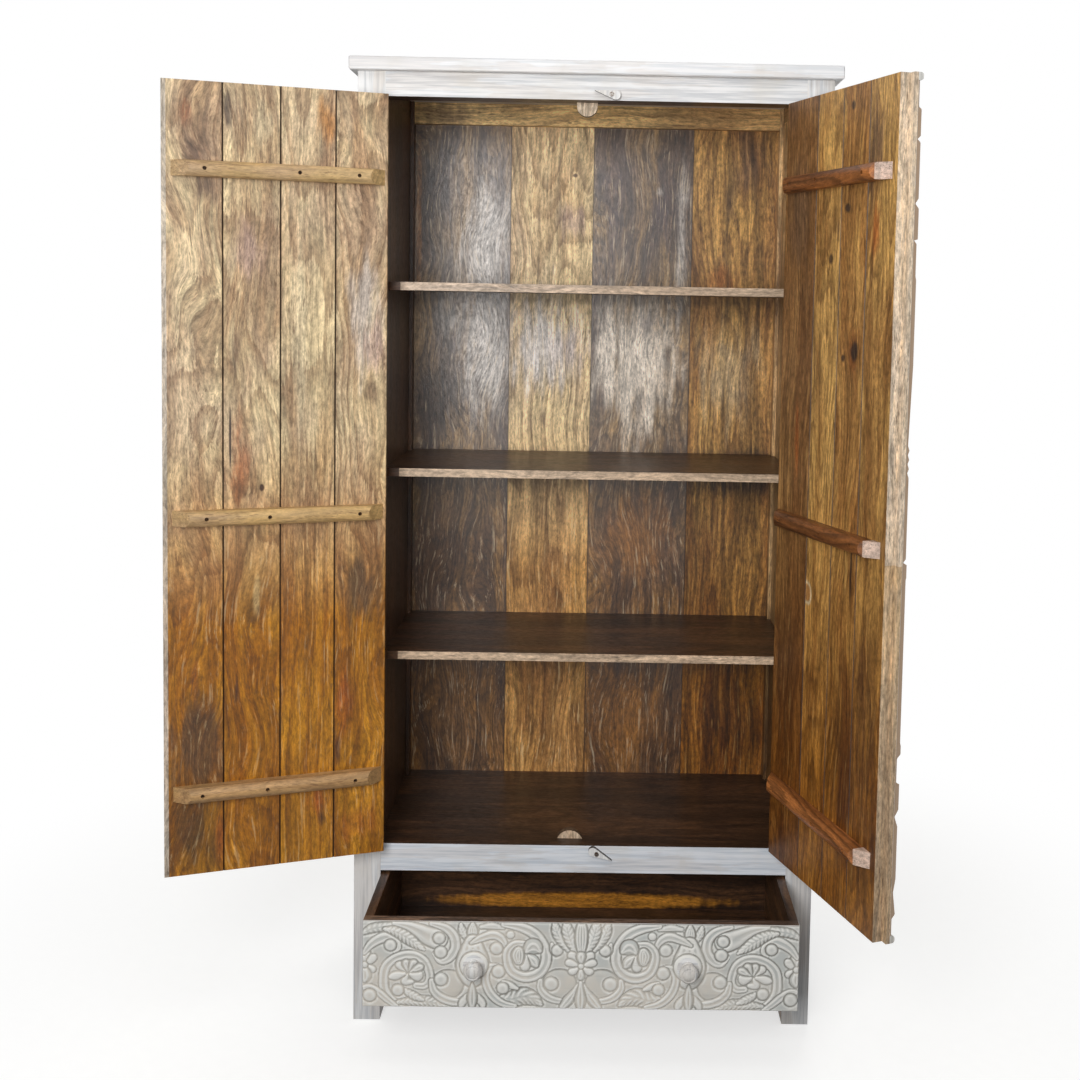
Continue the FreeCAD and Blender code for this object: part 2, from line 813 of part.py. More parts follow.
def makeDrawer():
    face = front - S.drawerPull
    rear = backFace - S.backRailThickness - S.drawerStopGap - S.drawerPull
    half = postInner - S.drawerSideGap
    inner = half - S.drawerSideThickness
    foot = runnerTop + S.runnerClearance
    crest = drawerTop - S.drawerSideDrop
    sideStart = face + S.drawerFrontThickness - S.drawerSideRabbet
    sides = {side: box((spanX(side, inner, S.drawerSideThickness), sideStart, foot),
                       (S.drawerSideThickness, rear - sideStart, crest - foot)) for side in (LEFT, RIGHT)}
    bottomStart = face + S.drawerFrontThickness - S.drawerBottomGroove
    reach = inner + S.drawerBottomGroove
    base = foot + S.drawerBottomLift
    bottom = box((-reach, bottomStart, base), (reach * 2, rear - bottomStart, S.drawerBottomThickness))
    makeDrawerFront(face, half, list(sides.values()) + [bottom])
    for side, board in sides.items():
        piece(f"drawer_{sideName(side)}_side", cut(board, [bottom]))
    piece("drawer_bottom", bottom)
    floor = base + S.drawerBottomThickness
    piece("drawer_back", box((-inner, rear - S.drawerSideThickness, floor),
                             (inner * 2, S.drawerSideThickness, crest - floor)))
    for side in (LEFT, RIGHT):
        makeKnob(side, face)


def makeDrawerFront(face, half, rebates):
    ground = face + S.drawerCarvingDepth
    depth = S.drawerFrontThickness - S.drawerCarvingDepth
    board = box((-half, ground, drawerBottom), (half * 2, depth, S.drawerFrontHeight))
    pads, holes = [], []
    bore = S.knobDowelDiameter + S.holeClearance * 2
    for x, z in knobPlaces().values():
        pads.append(rod((x, face, z), ALONG_Y, S.knobPadDiameter, S.drawerCarvingDepth))
        holes.append(rod((x, face, z), ALONG_Y, bore, S.knobDowelLength))
    piece("drawer_front", cut(fuse([board] + pads), rebates + holes))


def makeKnob(side, face):
    x, z = knobPlaces()[side]
    height = S.knobLength - S.knobNeckHeight
    place = (x, face - S.knobLength, z)
    head = turnedHead(place, ALONG_Y, S.knobHeadDiameter, height, S.knobBevel, knobSides)
    foot = spike((x, face - S.knobBaseHeight, z), ALONG_Y, S.knobBaseDiameter, S.knobBaseHeight, knobSides)
    neck = spike((x, face - S.knobNeckHeight, z), ALONG_Y, S.knobNeckDiameter, S.knobNeckHeight, knobSides)
    dowel = spike((x, face, z), ALONG_Y, S.knobDowelDiameter, S.knobDowelLength, knobSides)
    piece(f"drawer_{sideName(side)}_knob", fuse([head, neck, foot, dowel]))


# Build, check and write

def checkAll():
    doc.recompute()
    for item in doc.Objects:
        if "Invalid" in item.State or "Error" in item.State:
            raise RuntimeError(f"{item.Label} did not build: {item.State}")
    for item in pieces:
        if item.Shape.isNull() or not item.Shape.isValid() or not item.Shape.Solids:
            raise RuntimeError(f"{item.Label} has no valid solid")


def writeAll():
    os.makedirs("parts", exist_ok=True)
    for item in pieces:
        item.Shape.exportStep(f"parts/{item.Label}.step")
        print(item.Label, len(item.Shape.Solids), round(item.Shape.Volume))


fillSheet()
makeFrame()
makeBackPlanks()
makeCornice()
makeRunners()
makeCatches()
for doorSide in (LEFT, RIGHT):
    makeDoor(doorSide)
makeHinges()
makeDrawer()
checkAll()
writeAll()
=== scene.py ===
import math

import bpy
import numpy as np
from mathutils import Euler, Matrix, Vector


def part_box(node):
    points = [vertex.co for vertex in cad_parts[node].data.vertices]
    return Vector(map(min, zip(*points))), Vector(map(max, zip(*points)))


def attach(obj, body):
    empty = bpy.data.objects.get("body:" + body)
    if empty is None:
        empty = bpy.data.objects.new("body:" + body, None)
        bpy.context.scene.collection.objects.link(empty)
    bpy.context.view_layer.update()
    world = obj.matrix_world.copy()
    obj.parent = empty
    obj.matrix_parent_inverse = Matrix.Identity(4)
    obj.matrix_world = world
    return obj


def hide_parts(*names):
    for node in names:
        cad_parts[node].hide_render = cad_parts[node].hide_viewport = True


scene = bpy.context.scene
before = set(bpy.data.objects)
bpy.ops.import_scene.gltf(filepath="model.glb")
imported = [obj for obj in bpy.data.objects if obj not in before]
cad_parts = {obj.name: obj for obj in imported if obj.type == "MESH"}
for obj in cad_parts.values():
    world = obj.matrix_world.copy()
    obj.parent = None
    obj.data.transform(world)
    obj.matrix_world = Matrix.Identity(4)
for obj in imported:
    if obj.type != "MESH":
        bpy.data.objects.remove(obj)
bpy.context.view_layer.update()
print("cabinet loaded:", len(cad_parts), "nodes")

view = {
    "place": (0.01672, -2.73986, 1.42604),
    "down": 3.95,        # degrees
    "turn": 0.73,
    "roll": 1.07,
    "lens": 44.0,
    "shift": (-0.0715, -0.1367),
}
eye = bpy.data.cameras.new("eye")
eye.lens = view["lens"]
eye.sensor_width = 36
eye.shift_x, eye.shift_y = view["shift"]
eye.clip_start, eye.clip_end = 0.05, 60
eyeObject = bpy.data.objects.new("eye", eye)
scene.collection.objects.link(eyeObject)
eyeObject.matrix_world = (
    Matrix.Translation(view["place"])
    @ Euler((math.radians(90 - view["down"]), 0, math.radians(-view["turn"]))).to_matrix().to_4x4()
    @ Matrix.Rotation(math.radians(view["roll"]), 4, "Z")
)
scene.camera = eyeObject
scene.view_settings.view_transform = "Standard"

room = {
    "fill": 0.27,            # strength of the even light from all sides
    "fillColour": (1, 0.985, 0.965, 1),
    "paper": ("#c4c4c2", "#cececc"),
    "paperLift": 0.62,       # light that the paper gives by itself near the cabinet
    "paperFade": (0.75, 1.7),    # distances between which the paper turns plain white
    "bounce": "#787877",     # the paper as the wood sees it
}
lamps = {
    "front": {"place": (-0.55, -2.7, 1.65), "aim": (0, 0, 1.35), "power": 46, "size": (0.9, 1.3)},
    "top": {"place": (0, -1.7, 3.0), "aim": (0, -0.2, 1.6), "power": 8, "size": (1.4, 0.8)},
    "back": {"place": (0.8, 3.4, 2.0), "aim": (0, 0, 0.9), "power": 45, "size": (2.0, 1.6)},
}
for lampName, look in lamps.items():
    lamp = bpy.data.lights.new(lampName + "_softbox", "AREA")
    lamp.shape = "RECTANGLE"
    lamp.size, lamp.size_y = look["size"]
    lamp.energy = look["power"]
    holder = bpy.data.objects.new(lamp.name, lamp)
    scene.collection.objects.link(holder)
    holder.location = look["place"]
    aim = Vector(look["aim"]) - holder.location
    holder.rotation_euler = aim.to_track_quat("-Z", "Y").to_euler()

nodeSpace = (190, 40)        # from column to column and from row to row in the shader trees


def put(tree, kind, wired=None, **settings):
    # a node to the right of those that feed it: sockets are linked to its inputs, other values set
    node = tree.nodes.new("ShaderNode" + kind)
    for key, value in settings.items():
        setattr(node, key, value)
    column = 0
    for key, value in (wired or {}).items():
        if isinstance(value, bpy.types.NodeSocket):
            tree.links.new(value, node.inputs[key])
            column = max(column, value.node.location.x)
        else:
            node.inputs[key].default_value = value
    node.location = (column + nodeSpace[0], -nodeSpace[1] * len(tree.nodes))
    return node


def maths(tree, operation, first, second=None, third=None):
    wired = {i: value for i, value in enumerate((first, second, third)) if value is not None}
    return put(tree, "Math", wired, operation=operation).outputs[0]


def vectors(tree, operation, first, second):
    key = "Scale" if operation == "SCALE" else 1
    return put(tree, "VectorMath", {0: first, key: second}, operation=operation).outputs[0]


def distance(tree, place):
    return put(tree, "VectorMath", {0: place}, operation="LENGTH").outputs["Value"]


def split(tree, place):
    return put(tree, "SeparateXYZ", {0: place}).outputs


def alike(tree, kind, value):
    return put(tree, kind, {i: value for i in (0, 1, 2)}).outputs[0]


def noise(tree, place, scale, detail=2.0, rough=0.5):
    return put(tree, "TexNoise", {"Vector": place, "Scale": scale, "Detail": detail, "Roughness": rough}).outputs


def drawn(tree, place, along, *settings):
    # noise drawn out along z
    return noise(tree, vectors(tree, "MULTIPLY", place, (1.0, 1.0, along)), *settings)


def spread(tree, value, low, high, toLow=0.0, toHigh=1.0, smooth=True):
    node = put(tree, "MapRange", {0: value, 1: low, 2: high, 3: toLow, 4: toHigh})
    node.interpolation_type = "SMOOTHSTEP" if smooth else "LINEAR"
    return node.outputs[0]


def paint(text):
    # the screen colour "#rrggbb" as the linear one that a socket takes
    screen = [int(text[i:i + 2], 16) for i in (1, 3, 5)]
    return tuple(((c / 255 + 0.055) / 1.055) ** 2.4 if c > 10 else c / 255 / 12.92 for c in screen)


def asColour(value):
    if isinstance(value, bpy.types.NodeSocket):
        return value
    return (*(paint(value) if isinstance(value, str) else value[:3]), 1)


def blend(tree, share, first, second, how="MIX"):
    wired = {0: share, 6: asColour(first), 7: asColour(second)}
    return put(tree, "Mix", wired, data_type="RGBA", blend_type=how, clamp_factor=True).outputs[2]


def blendValues(tree, share, first, second):
    return put(tree, "Mix", {0: share, 2: first, 3: second}).outputs[0]


def objectPlace(tree):
    return put(tree, "TexCoord").outputs["Object"]


def straightRays(tree):
    # 1 for the rays that look at the backdrop itself: straight, mirrored or through glass
    path = put(tree, "LightPath").outputs
    straight = maths(tree, "MAXIMUM", path["Is Camera Ray"], path["Is Transmission Ray"])
    return maths(tree, "MAXIMUM", straight, path["Is Glossy Ray"])


def makeRoom():
    world = bpy.data.worlds.new("studio")
    scene.world = world
    world.use_nodes = True
    tree = world.node_tree
    tree.nodes.clear()
    even = put(tree, "Background", {"Color": room["fillColour"], "Strength": room["fill"]})
    white = put(tree, "Background", {"Color": (1, 1, 1, 1), "Strength": 1.0})
    both = put(tree, "MixShader", {0: straightRays(tree), 1: even.outputs[0], 2: white.outputs[0]})
    put(tree, "OutputWorld", {"Surface": both.outputs[0]})

    bpy.ops.mesh.primitive_circle_add(vertices=96, radius=9, fill_type="NGON", location=(0, 0, -0.0005))
    floor = bpy.context.active_object
    floor.name = "studio_floor"
    paper = bpy.data.materials.new("studio_paper")
    paper.use_nodes = True
    tree = paper.node_tree
    tree.nodes.clear()
    place = objectPlace(tree)
    fade = spread(tree, distance(tree, place), *room["paperFade"])
    tint = blend(tree, noise(tree, place, 40.0)[0], *room["paper"])
    matt = put(tree, "BsdfDiffuse", {"Color": tint})
    lift = put(tree, "Emission", {"Color": (1, 1, 1, 1), "Strength": room["paperLift"]})
    lifted = put(tree, "AddShader", {0: matt.outputs[0], 1: lift.outputs[0]})
    white = put(tree, "Emission", {"Color": (1, 1, 1, 1), "Strength": 1.0})
    faded = put(tree, "MixShader", {0: fade, 1: lifted.outputs[0], 2: white.outputs[0]})
    dim = put(tree, "BsdfDiffuse", {"Color": asColour(room["bounce"])})
    whole = put(tree, "MixShader", {0: straightRays(tree), 1: dim.outputs[0], 2: faded.outputs[0]})
    put(tree, "OutputMaterial", {"Surface": whole.outputs[0]})
    floor.data.materials.append(paper)


makeRoom()
print("room and camera ready")


def newGroup(name, takes, gives):
    group = bpy.data.node_groups.new(name, "ShaderNodeTree")
    for label, value in takes.items():
        kind = "Float" if isinstance(value, float) else "Vector"
        socket = group.interface.new_socket(label, in_out="INPUT", socket_type="NodeSocket" + kind)
        socket.default_value = value
    for label in gives:
        group.interface.new_socket(label, in_out="OUTPUT", socket_type="NodeSocketFloat")
    start = group.nodes.new("NodeGroupInput")
    end = group.nodes.new("NodeGroupOutput")
    end.location = (3000, 0)

    def give(label, value):
        group.links.new(value, end.inputs[label])

    return group, start.outputs, give


def makeBoardGrain():
    # z runs along the board; the rings are the contour lines of a noise drawn out along it
    tree, takes, give = newGroup(
        "board_grain", {"Place": (0, 0, 0), "Seed": 0.0, "Lines": 16.0, "Wave": 1.0},
        ["Rings", "Fibre", "Stripes", "Mottle", "Pores", "Clouds", "Patches"])
    move = alike(tree, "CombineXYZ", takes["Seed"])
    here = vectors(tree, "ADD", takes["Place"], vectors(tree, "MULTIPLY", move, (3.17, 1.73, 5.31)))
    sway = drawn(tree, here, 0.55, 7.0, 1.5)["Color"]
    sideways = vectors(tree, "SUBTRACT", sway, (0.5, 0.5, 0.5))
    sideways = vectors(tree, "MULTIPLY", sideways, (0.055, 0.03, 0.0))
    bent = vectors(tree, "ADD", here, vectors(tree, "SCALE", sideways, takes["Wave"]))
    fibre = drawn(tree, bent, 0.045, 210.0, 4.0, 0.68)[0]
    field = drawn(tree, bent, 0.14, 8.5, 1.2, 0.45)[0]
    ragged = maths(tree, "MULTIPLY_ADD", fibre, 0.55, -0.27)
    saw = maths(tree, "FRACT", maths(tree, "MULTIPLY_ADD", field, takes["Lines"], ragged))
    rise = spread(tree, saw, 0.38, 0.93)
    fall = spread(tree, saw, 0.95, 1.0, 1.0, 0.0)
    dash = spread(tree, drawn(tree, bent, 0.10, 560.0, 1.0)[0], 0.58, 0.68)
    gate = spread(tree, drawn(tree, bent, 0.14, 30.0, 1.0)[0], 0.36, 0.60)
    give("Rings", maths(tree, "MULTIPLY", rise, fall))
    give("Fibre", fibre)
    give("Stripes", drawn(tree, bent, 0.04, 66.0, 2.0, 0.6)[0])
    give("Mottle", drawn(tree, bent, 0.34, 200.0, 3.0, 0.75)[0])
    give("Pores", maths(tree, "MULTIPLY", dash, gate))
    give("Clouds", drawn(tree, bent, 0.13, 17.0, 3.0, 0.6)[0])
    give("Patches", drawn(tree, here, 0.5, 6.0, 3.5, 0.65)[0])
    return tree


def makeSoftSpot():
    # an uneven oval mark: 1 in its middle, 0 outside
    tree, takes, give = newGroup(
        "soft_spot", {"Place": (0, 0, 0), "Centre": (0, 0, 0), "Reach": (1, 1, 1), "Edge": 0.5, "Ragged": 1.0},
        ["Mark"])
    off = vectors(tree, "SUBTRACT", takes["Place"], takes["Centre"])
    off = vectors(tree, "DIVIDE", off, takes["Reach"])
    rag = vectors(tree, "SUBTRACT", drawn(tree, takes["Place"], 0.16, 60.0, 4.0)["Color"], (0.5, 0.5, 0.5))
    rag = vectors(tree, "SCALE", vectors(tree, "MULTIPLY", rag, (1.7, 0.0, 1.7)), takes["Ragged"])
    give("Mark", spread(tree, distance(tree, vectors(tree, "ADD", off, rag)), 1.0, takes["Edge"]))
    return tree


def makeLimewash():
    # brushed thin white: where it covers, where it streaks, where dirt stays
    tree, takes, give = newGroup("limewash", {"Place": (0, 0, 0), "Seed": 0.0}, ["Cover", "Streaks", "Smudge"])
    here = vectors(tree, "ADD", takes["Place"], alike(tree, "CombineXYZ", takes["Seed"]))
    give("Streaks", drawn(tree, here, 0.035, 170.0, 4.0, 0.65)[0])
    give("Cover", spread(tree, drawn(tree, here, 0.12, 34.0, 4.0, 0.6)[0], 0.34, 0.52))
    give("Smudge", noise(tree, here, 9.0, 4.0, 0.6)[0])
    return tree


boardGrain = makeBoardGrain()
softSpot = makeSoftSpot()
limewash = makeLimewash()

hingePin = {"left": (-0.3965, -0.2195, 0), "right": (0.3965, -0.2195, 0)}
openTurn = {"left": math.radians(-161), "right": math.radians(109.5)}


def boardPlace(tree, along, door=None):
    # coordinates with z along the board; a door's are read as if it were closed, from its hinge
    place = objectPlace(tree)
    if door:
        place = put(tree, "Mapping", {
            "Vector": place, "Location": hingePin[door], "Rotation": (0, 0, openTurn[door]),
        }, vector_type="TEXTURE").outputs[0]
    if along == "z":
        return place, place
    parts = split(tree, place)
    order = {"x": (2, 1, 0), "y": (0, 2, 1)}[along]
    return put(tree, "CombineXYZ", {i: parts[n] for i, n in enumerate(order)}).outputs[0], place


def startMaterial(name):
    finish = bpy.data.materials.new(name)
    finish.use_nodes = True
    finish.node_tree.nodes.clear()
    return finish, finish.node_tree


def endMaterial(tree, colour, rough, height, bump=(0.3, 0.0006), metal=0.0, sheen=0.5):
    raised = put(tree, "Bump", {"Height": height, "Strength": bump[0], "Distance": bump[1]})
    shader = put(tree, "BsdfPrincipled", {
        "Base Color": colour, "Roughness": rough, "Metallic": metal, "Specular IOR Level": sheen,
        "Normal": raised.outputs[0]})
    put(tree, "OutputMaterial", {"Surface": shader.outputs[0]})


def sideMask(tree, place, rules):
    # 1 where all the rules hold, such as "z > 0.3" or "|x| < 0.4", in metres
    parts = split(tree, place)
    mask = None
    for rule in rules:
        axis, way, limit = rule.split()
        value = parts["xyz".index(axis.strip("|"))]
        if "|" in axis:
            value = maths(tree, "ABSOLUTE", value)
        test = maths(tree, "GREATER_THAN" if way == ">" else "LESS_THAN", value, float(limit))
        mask = test if mask is None else maths(tree, "MULTIPLY", mask, test)
    return mask


def woodLook(tree, look, turned, place):
    grain = put(tree, "Group", {
        "Place": turned, "Seed": look["seed"], "Lines": look.get("lines", 14.0), "Wave": look.get("wave", 1.0),
    }, node_tree=boardGrain).outputs
    middle = look.get("balance", 0.5)
    dark = spread(tree, grain["Clouds"], middle - 0.11, middle + 0.11)
    colour = blend(tree, dark, look["light"], look["dark"])
    broad = spread(tree, grain["Patches"], 0.42, 0.62, 0.0, 0.45)
    colour = blend(tree, broad, colour, look["patch"])
    rings = maths(tree, "MULTIPLY", grain["Rings"], look.get("ringShare", 0.5))
    colour = blend(tree, rings, colour, look["ring"])
    if "low" in look:     # darker towards the foot: partly the wood's own tone, partly painted shade of the lamp's light falling off
        deep = spread(tree, split(tree, place)[2], *look.get("fall", (1.18, 0.82)), 0.0, 1.0, False)
        colour = blend(tree, deep, colour, look["low"], "MULTIPLY")
    for mark in look.get("spots", []):
        share = put(tree, "Group", {
            "Place": place, "Centre": mark["at"], "Reach": mark["reach"], "Edge": mark["edge"],
            "Ragged": 0.3 if mark["edge"] > 0.35 else 1.0,
        }, node_tree=softSpot).outputs["Mark"]
        share = maths(tree, "MULTIPLY", share, mark["share"])
        colour = blend(tree, share, colour, mark["tint"])
    for rules, tint, share in look.get("painted", []):
        share = maths(tree, "MULTIPLY", sideMask(tree, place, rules), share)
        colour = blend(tree, share, colour, tint)
    strong = look.get("contrast", 0.42)
    bold = look.get("stripes", 0.2)
    thread = spread(tree, grain["Fibre"], 0.30, 0.70, 1.0 - strong, 1.0 + strong, False)
    fleck = spread(tree, grain["Mottle"], 0.32, 0.68, 1.0 - strong, 1.0 + strong, False)
    stripe = spread(tree, grain["Stripes"], 0.36, 0.64, 1.0 - bold, 1.0 + bold, False)
    thread = maths(tree, "MULTIPLY", maths(tree, "MULTIPLY", thread, fleck), stripe)
    colour = blend(tree, 1.0, colour, alike(tree, "CombineColor", thread), "MULTIPLY")
    gleam = spread(tree, grain["Fibre"], 0.56, 0.68, 0.0, look.get("gleam", 0.3))
    colour = blend(tree, gleam, colour, look.get("shine", look["light"]))
    flecks = maths(tree, "MULTIPLY", grain["Pores"], 0.55)
    colour = blend(tree, flecks, colour, look["pore"])
    if "joints" in look:     # dirt in the gaps beside the board
        across = split(tree, place)[0]
        for edge, half, share in look["joints"]:
            off = maths(tree, "ABSOLUTE", maths(tree, "SUBTRACT", across, edge))
            line = spread(tree, off, half * 1.7, half * 0.8, 0.0, share)
            colour = blend(tree, line, colour, "#22140e")
    rough = spread(tree, grain["Mottle"], 0.3, 0.7, look["gloss"] + 0.07, look["gloss"] - 0.05)
    height = maths(tree, "MULTIPLY_ADD", grain["Pores"], -0.5, grain["Mottle"])
    return colour, rough, height


def limeLook(tree, look, turned):
    wash = put(tree, "Group", {"Place": turned, "Seed": look["seed"]}, node_tree=limewash).outputs
    colour = blend(tree, spread(tree, wash["Streaks"], 0.36, 0.62), look["grey"], look["white"])
    colour = blend(tree, spread(tree, wash["Smudge"], 0.45, 0.75, 0.0, 0.5), colour, look["smudge"])
    colour = blend(tree, maths(tree, "MAXIMUM", wash["Cover"], 0.86), look["bare"], colour)
    line = spread(tree, wash["Streaks"], 0.30, 0.20, 0.0, 0.5)
    colour = blend(tree, line, colour, look["pore"])
    rough = spread(tree, wash["Streaks"], 0.3, 0.7, look["gloss"] + 0.1, look["gloss"] - 0.06)
    return colour, rough, wash["Streaks"]


def finishBoard(name, wood=None, lime=None, bare=None, along="z", door=None):
    # waxed wood, whitewash, or both with the rules that say where the wood is left bare
    finish, tree = startMaterial(name)
    turned, place = boardPlace(tree, along, door)
    if wood:
        colour, rough, height = woodLook(tree, wood, turned, place)
    if lime:
        paleColour, paleRough, paleHeight = limeLook(tree, lime, turned)
        if wood:
            mask = sideMask(tree, place, bare)
            colour = blend(tree, mask, paleColour, colour)
            rough = blendValues(tree, mask, paleRough, rough)
            height = blendValues(tree, mask, paleHeight, height)
        else:
            colour, rough, height = paleColour, paleRough, paleHeight
    endMaterial(tree, colour, rough, height, sheen=(wood or lime).get("sheen", 0.35))
    return finish


def dress(nodeNames, finish):
    for nodeName in nodeNames:
        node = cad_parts[nodeName]
        node.data.materials.clear()
        node.data.materials.append(finish)


honey = dict(
    light="#d6c096", dark="#ac8e6a", ring="#765436", patch="#b69a84", pore="#60422a",
    low=(0.72, 0.40, 0.05), gloss=0.44, lines=20.0)
walnut = dict(
    light="#a08054", dark="#624c3a", ring="#36261e", patch="#60504c", pore="#2e2018", shine="#ceba9c",
    low=(0.78, 0.58, 0.36), fall=(1.15, 0.58), contrast=0.52, gloss=0.34, lines=26.0, gleam=0.7, sheen=0.5)
amber = dict(
    light="#c69a58", dark="#986c3a", ring="#5c3a1e", patch="#8c6238", pore="#462a16", shine="#cea868",
    low=(0.60, 0.42, 0.20), fall=(1.15, 0.58), gloss=0.42, lines=22.0)
satinDark = dict(
    light="#5e402a", dark="#3a271a", ring="#241811", patch="#483428", pore="#1e140e", gloss=0.36)
# tints for marks on the wood; the pale grey-white is only for painted reflections of the lamp, and the soot and smoke
# tints also paint shadow
smokeAndShade, rust, mauve, plum, reflectionTint = "#624a3a", "#964e20", "#a88c86", "#4e3e42", "#d0c8c0"
cream, ember, sootAndShade, knot = "#deceaa", "#b07638", "#342620", "#3e2214"
lime = dict(
    white="#f0f0f0", grey="#ced0d3", smudge="#dcd8d0", bare="#ba9c7a", pore="#9c9c9c", gloss=0.55, seed=51.0)

# planes that part the sides of a board, in metres
plane = {
    "face": "y > -0.2140",         # behind the front of posts and rails
    "insideWall": "|x| < 0.4055",  # inner side of posts, rails and side panels
    "doorInside": "y > 0.0139",    # behind the white face of a door, from its hinge
}


def spot(x, z, across, up, share, tint, edge=0.2):
    # an oval mark, in millimetres; the reach through the board has no end
    return {"at": (x / 1000, 0, z / 1000), "reach": (across / 1000, 9.0, up / 1000), "share": share, "tint": tint,
            "edge": edge}


def paintedWallLight(x, z, across, up, share, tint=reflectionTint, edge=0.2):
    # painted light on the inner face of the back wall alone: a painted reflection of the lamp in a pale tint, a painted
    # shadow in a dark one
    return dict(spot(x, z, across, up, share, tint, edge), at=(x / 1000, 0.193, z / 1000),
                reach=(across / 1000, 0.008, up / 1000))


# the pale marks on the inner face of the wall are painted reflections of the front lamp on the varnish
backBoards = {
    "back_plank_1": dict(walnut, seed=2.0, wave=2.4, balance=0.50, spots=[
        paintedWallLight(-238, 1540, 72, 180, 0.8), spot(-353, 1661, 56, 190, 0.8, sootAndShade), spot(-329, 1509, 40, 70, 0.6, sootAndShade),
        paintedWallLight(-240, 1290, 80, 180, 0.85), spot(-345, 1190, 60, 160, 0.85, sootAndShade), spot(-389, 1560, 9, 260, 0.6, ember),
        paintedWallLight(-330, 1380, 50, 50, 0.4)]),
    "back_plank_2": dict(
        honey, seed=3.1, lines=22.0, wave=0.9, balance=0.60, light="#ffe2ac", dark="#ccaa7c", gleam=0.5, stripes=0.28,
        low=(0.70, 0.48, 0.26), spots=[
            spot(-95, 1640, 90, 190, 0.35, ember), spot(-46, 1602, 40, 50, 0.6, mauve),
            spot(-47, 1700, 7, 6, 0.9, knot, 0.4), paintedWallLight(-110, 1330, 100, 150, 0.85, "#ece6e2"),
            spot(-109, 1165, 14, 26, 0.6, smokeAndShade), spot(-60, 1320, 50, 60, 0.4, mauve)]),
    "back_plank_3": dict(walnut, seed=4.7, lines=30.0, wave=1.8, balance=0.47, low=(1.0, 0.72, 0.40), spots=[
        spot(40, 1640, 40, 200, 0.6, plum), spot(151, 1627, 46, 100, 0.7, plum), paintedWallLight(141, 1671, 10, 15, 0.4),
        paintedWallLight(190, 1560, 16, 260, 0.6), paintedWallLight(90, 1290, 140, 210, 0.95, "#f0e2d0"), spot(117, 1373, 34, 40, 0.6, plum),
        spot(100, 900, 120, 130, 0.5, ember), spot(90, 480, 100, 120, 0.5, ember)]),
    "back_plank_4": dict(amber, seed=6.2, lines=26.0, wave=0.9, balance=0.5, contrast=0.5, stripes=0.42, spots=[
        spot(337, 1740, 50, 130, 0.7, smokeAndShade), spot(300, 1680, 24, 100, 0.5, smokeAndShade), spot(286, 1477, 45, 43, 0.5, rust),
        spot(300, 1270, 90, 150, 0.35, cream), spot(320, 470, 110, 130, 0.6, knot)]),
}
# gaps between the planks of the wall: place across, half width, strength
backJoints = [(edge, 0.0011, 0.7) for edge in (-0.1879, -0.0056, 0.2125)]
# painted shadow on the wall under each shelf, deepest at the right of the middle one
paintedShelfShadows = [
    paintedWallLight(0, 1439, 1500, 30, 0.4, sootAndShade, 0.4), paintedWallLight(0, 1048, 1500, 62, 0.5, sootAndShade, 0.4),
    paintedWallLight(0, 650, 1500, 80, 0.4, sootAndShade, 0.4), paintedWallLight(345, 1046, 150, 72, 0.75, sootAndShade, 0.4)]
for board, look in backBoards.items():
    look = dict(look, joints=backJoints, spots=look["spots"] + paintedShelfShadows)
    dress([board], finishBoard("wood_" + board, look))

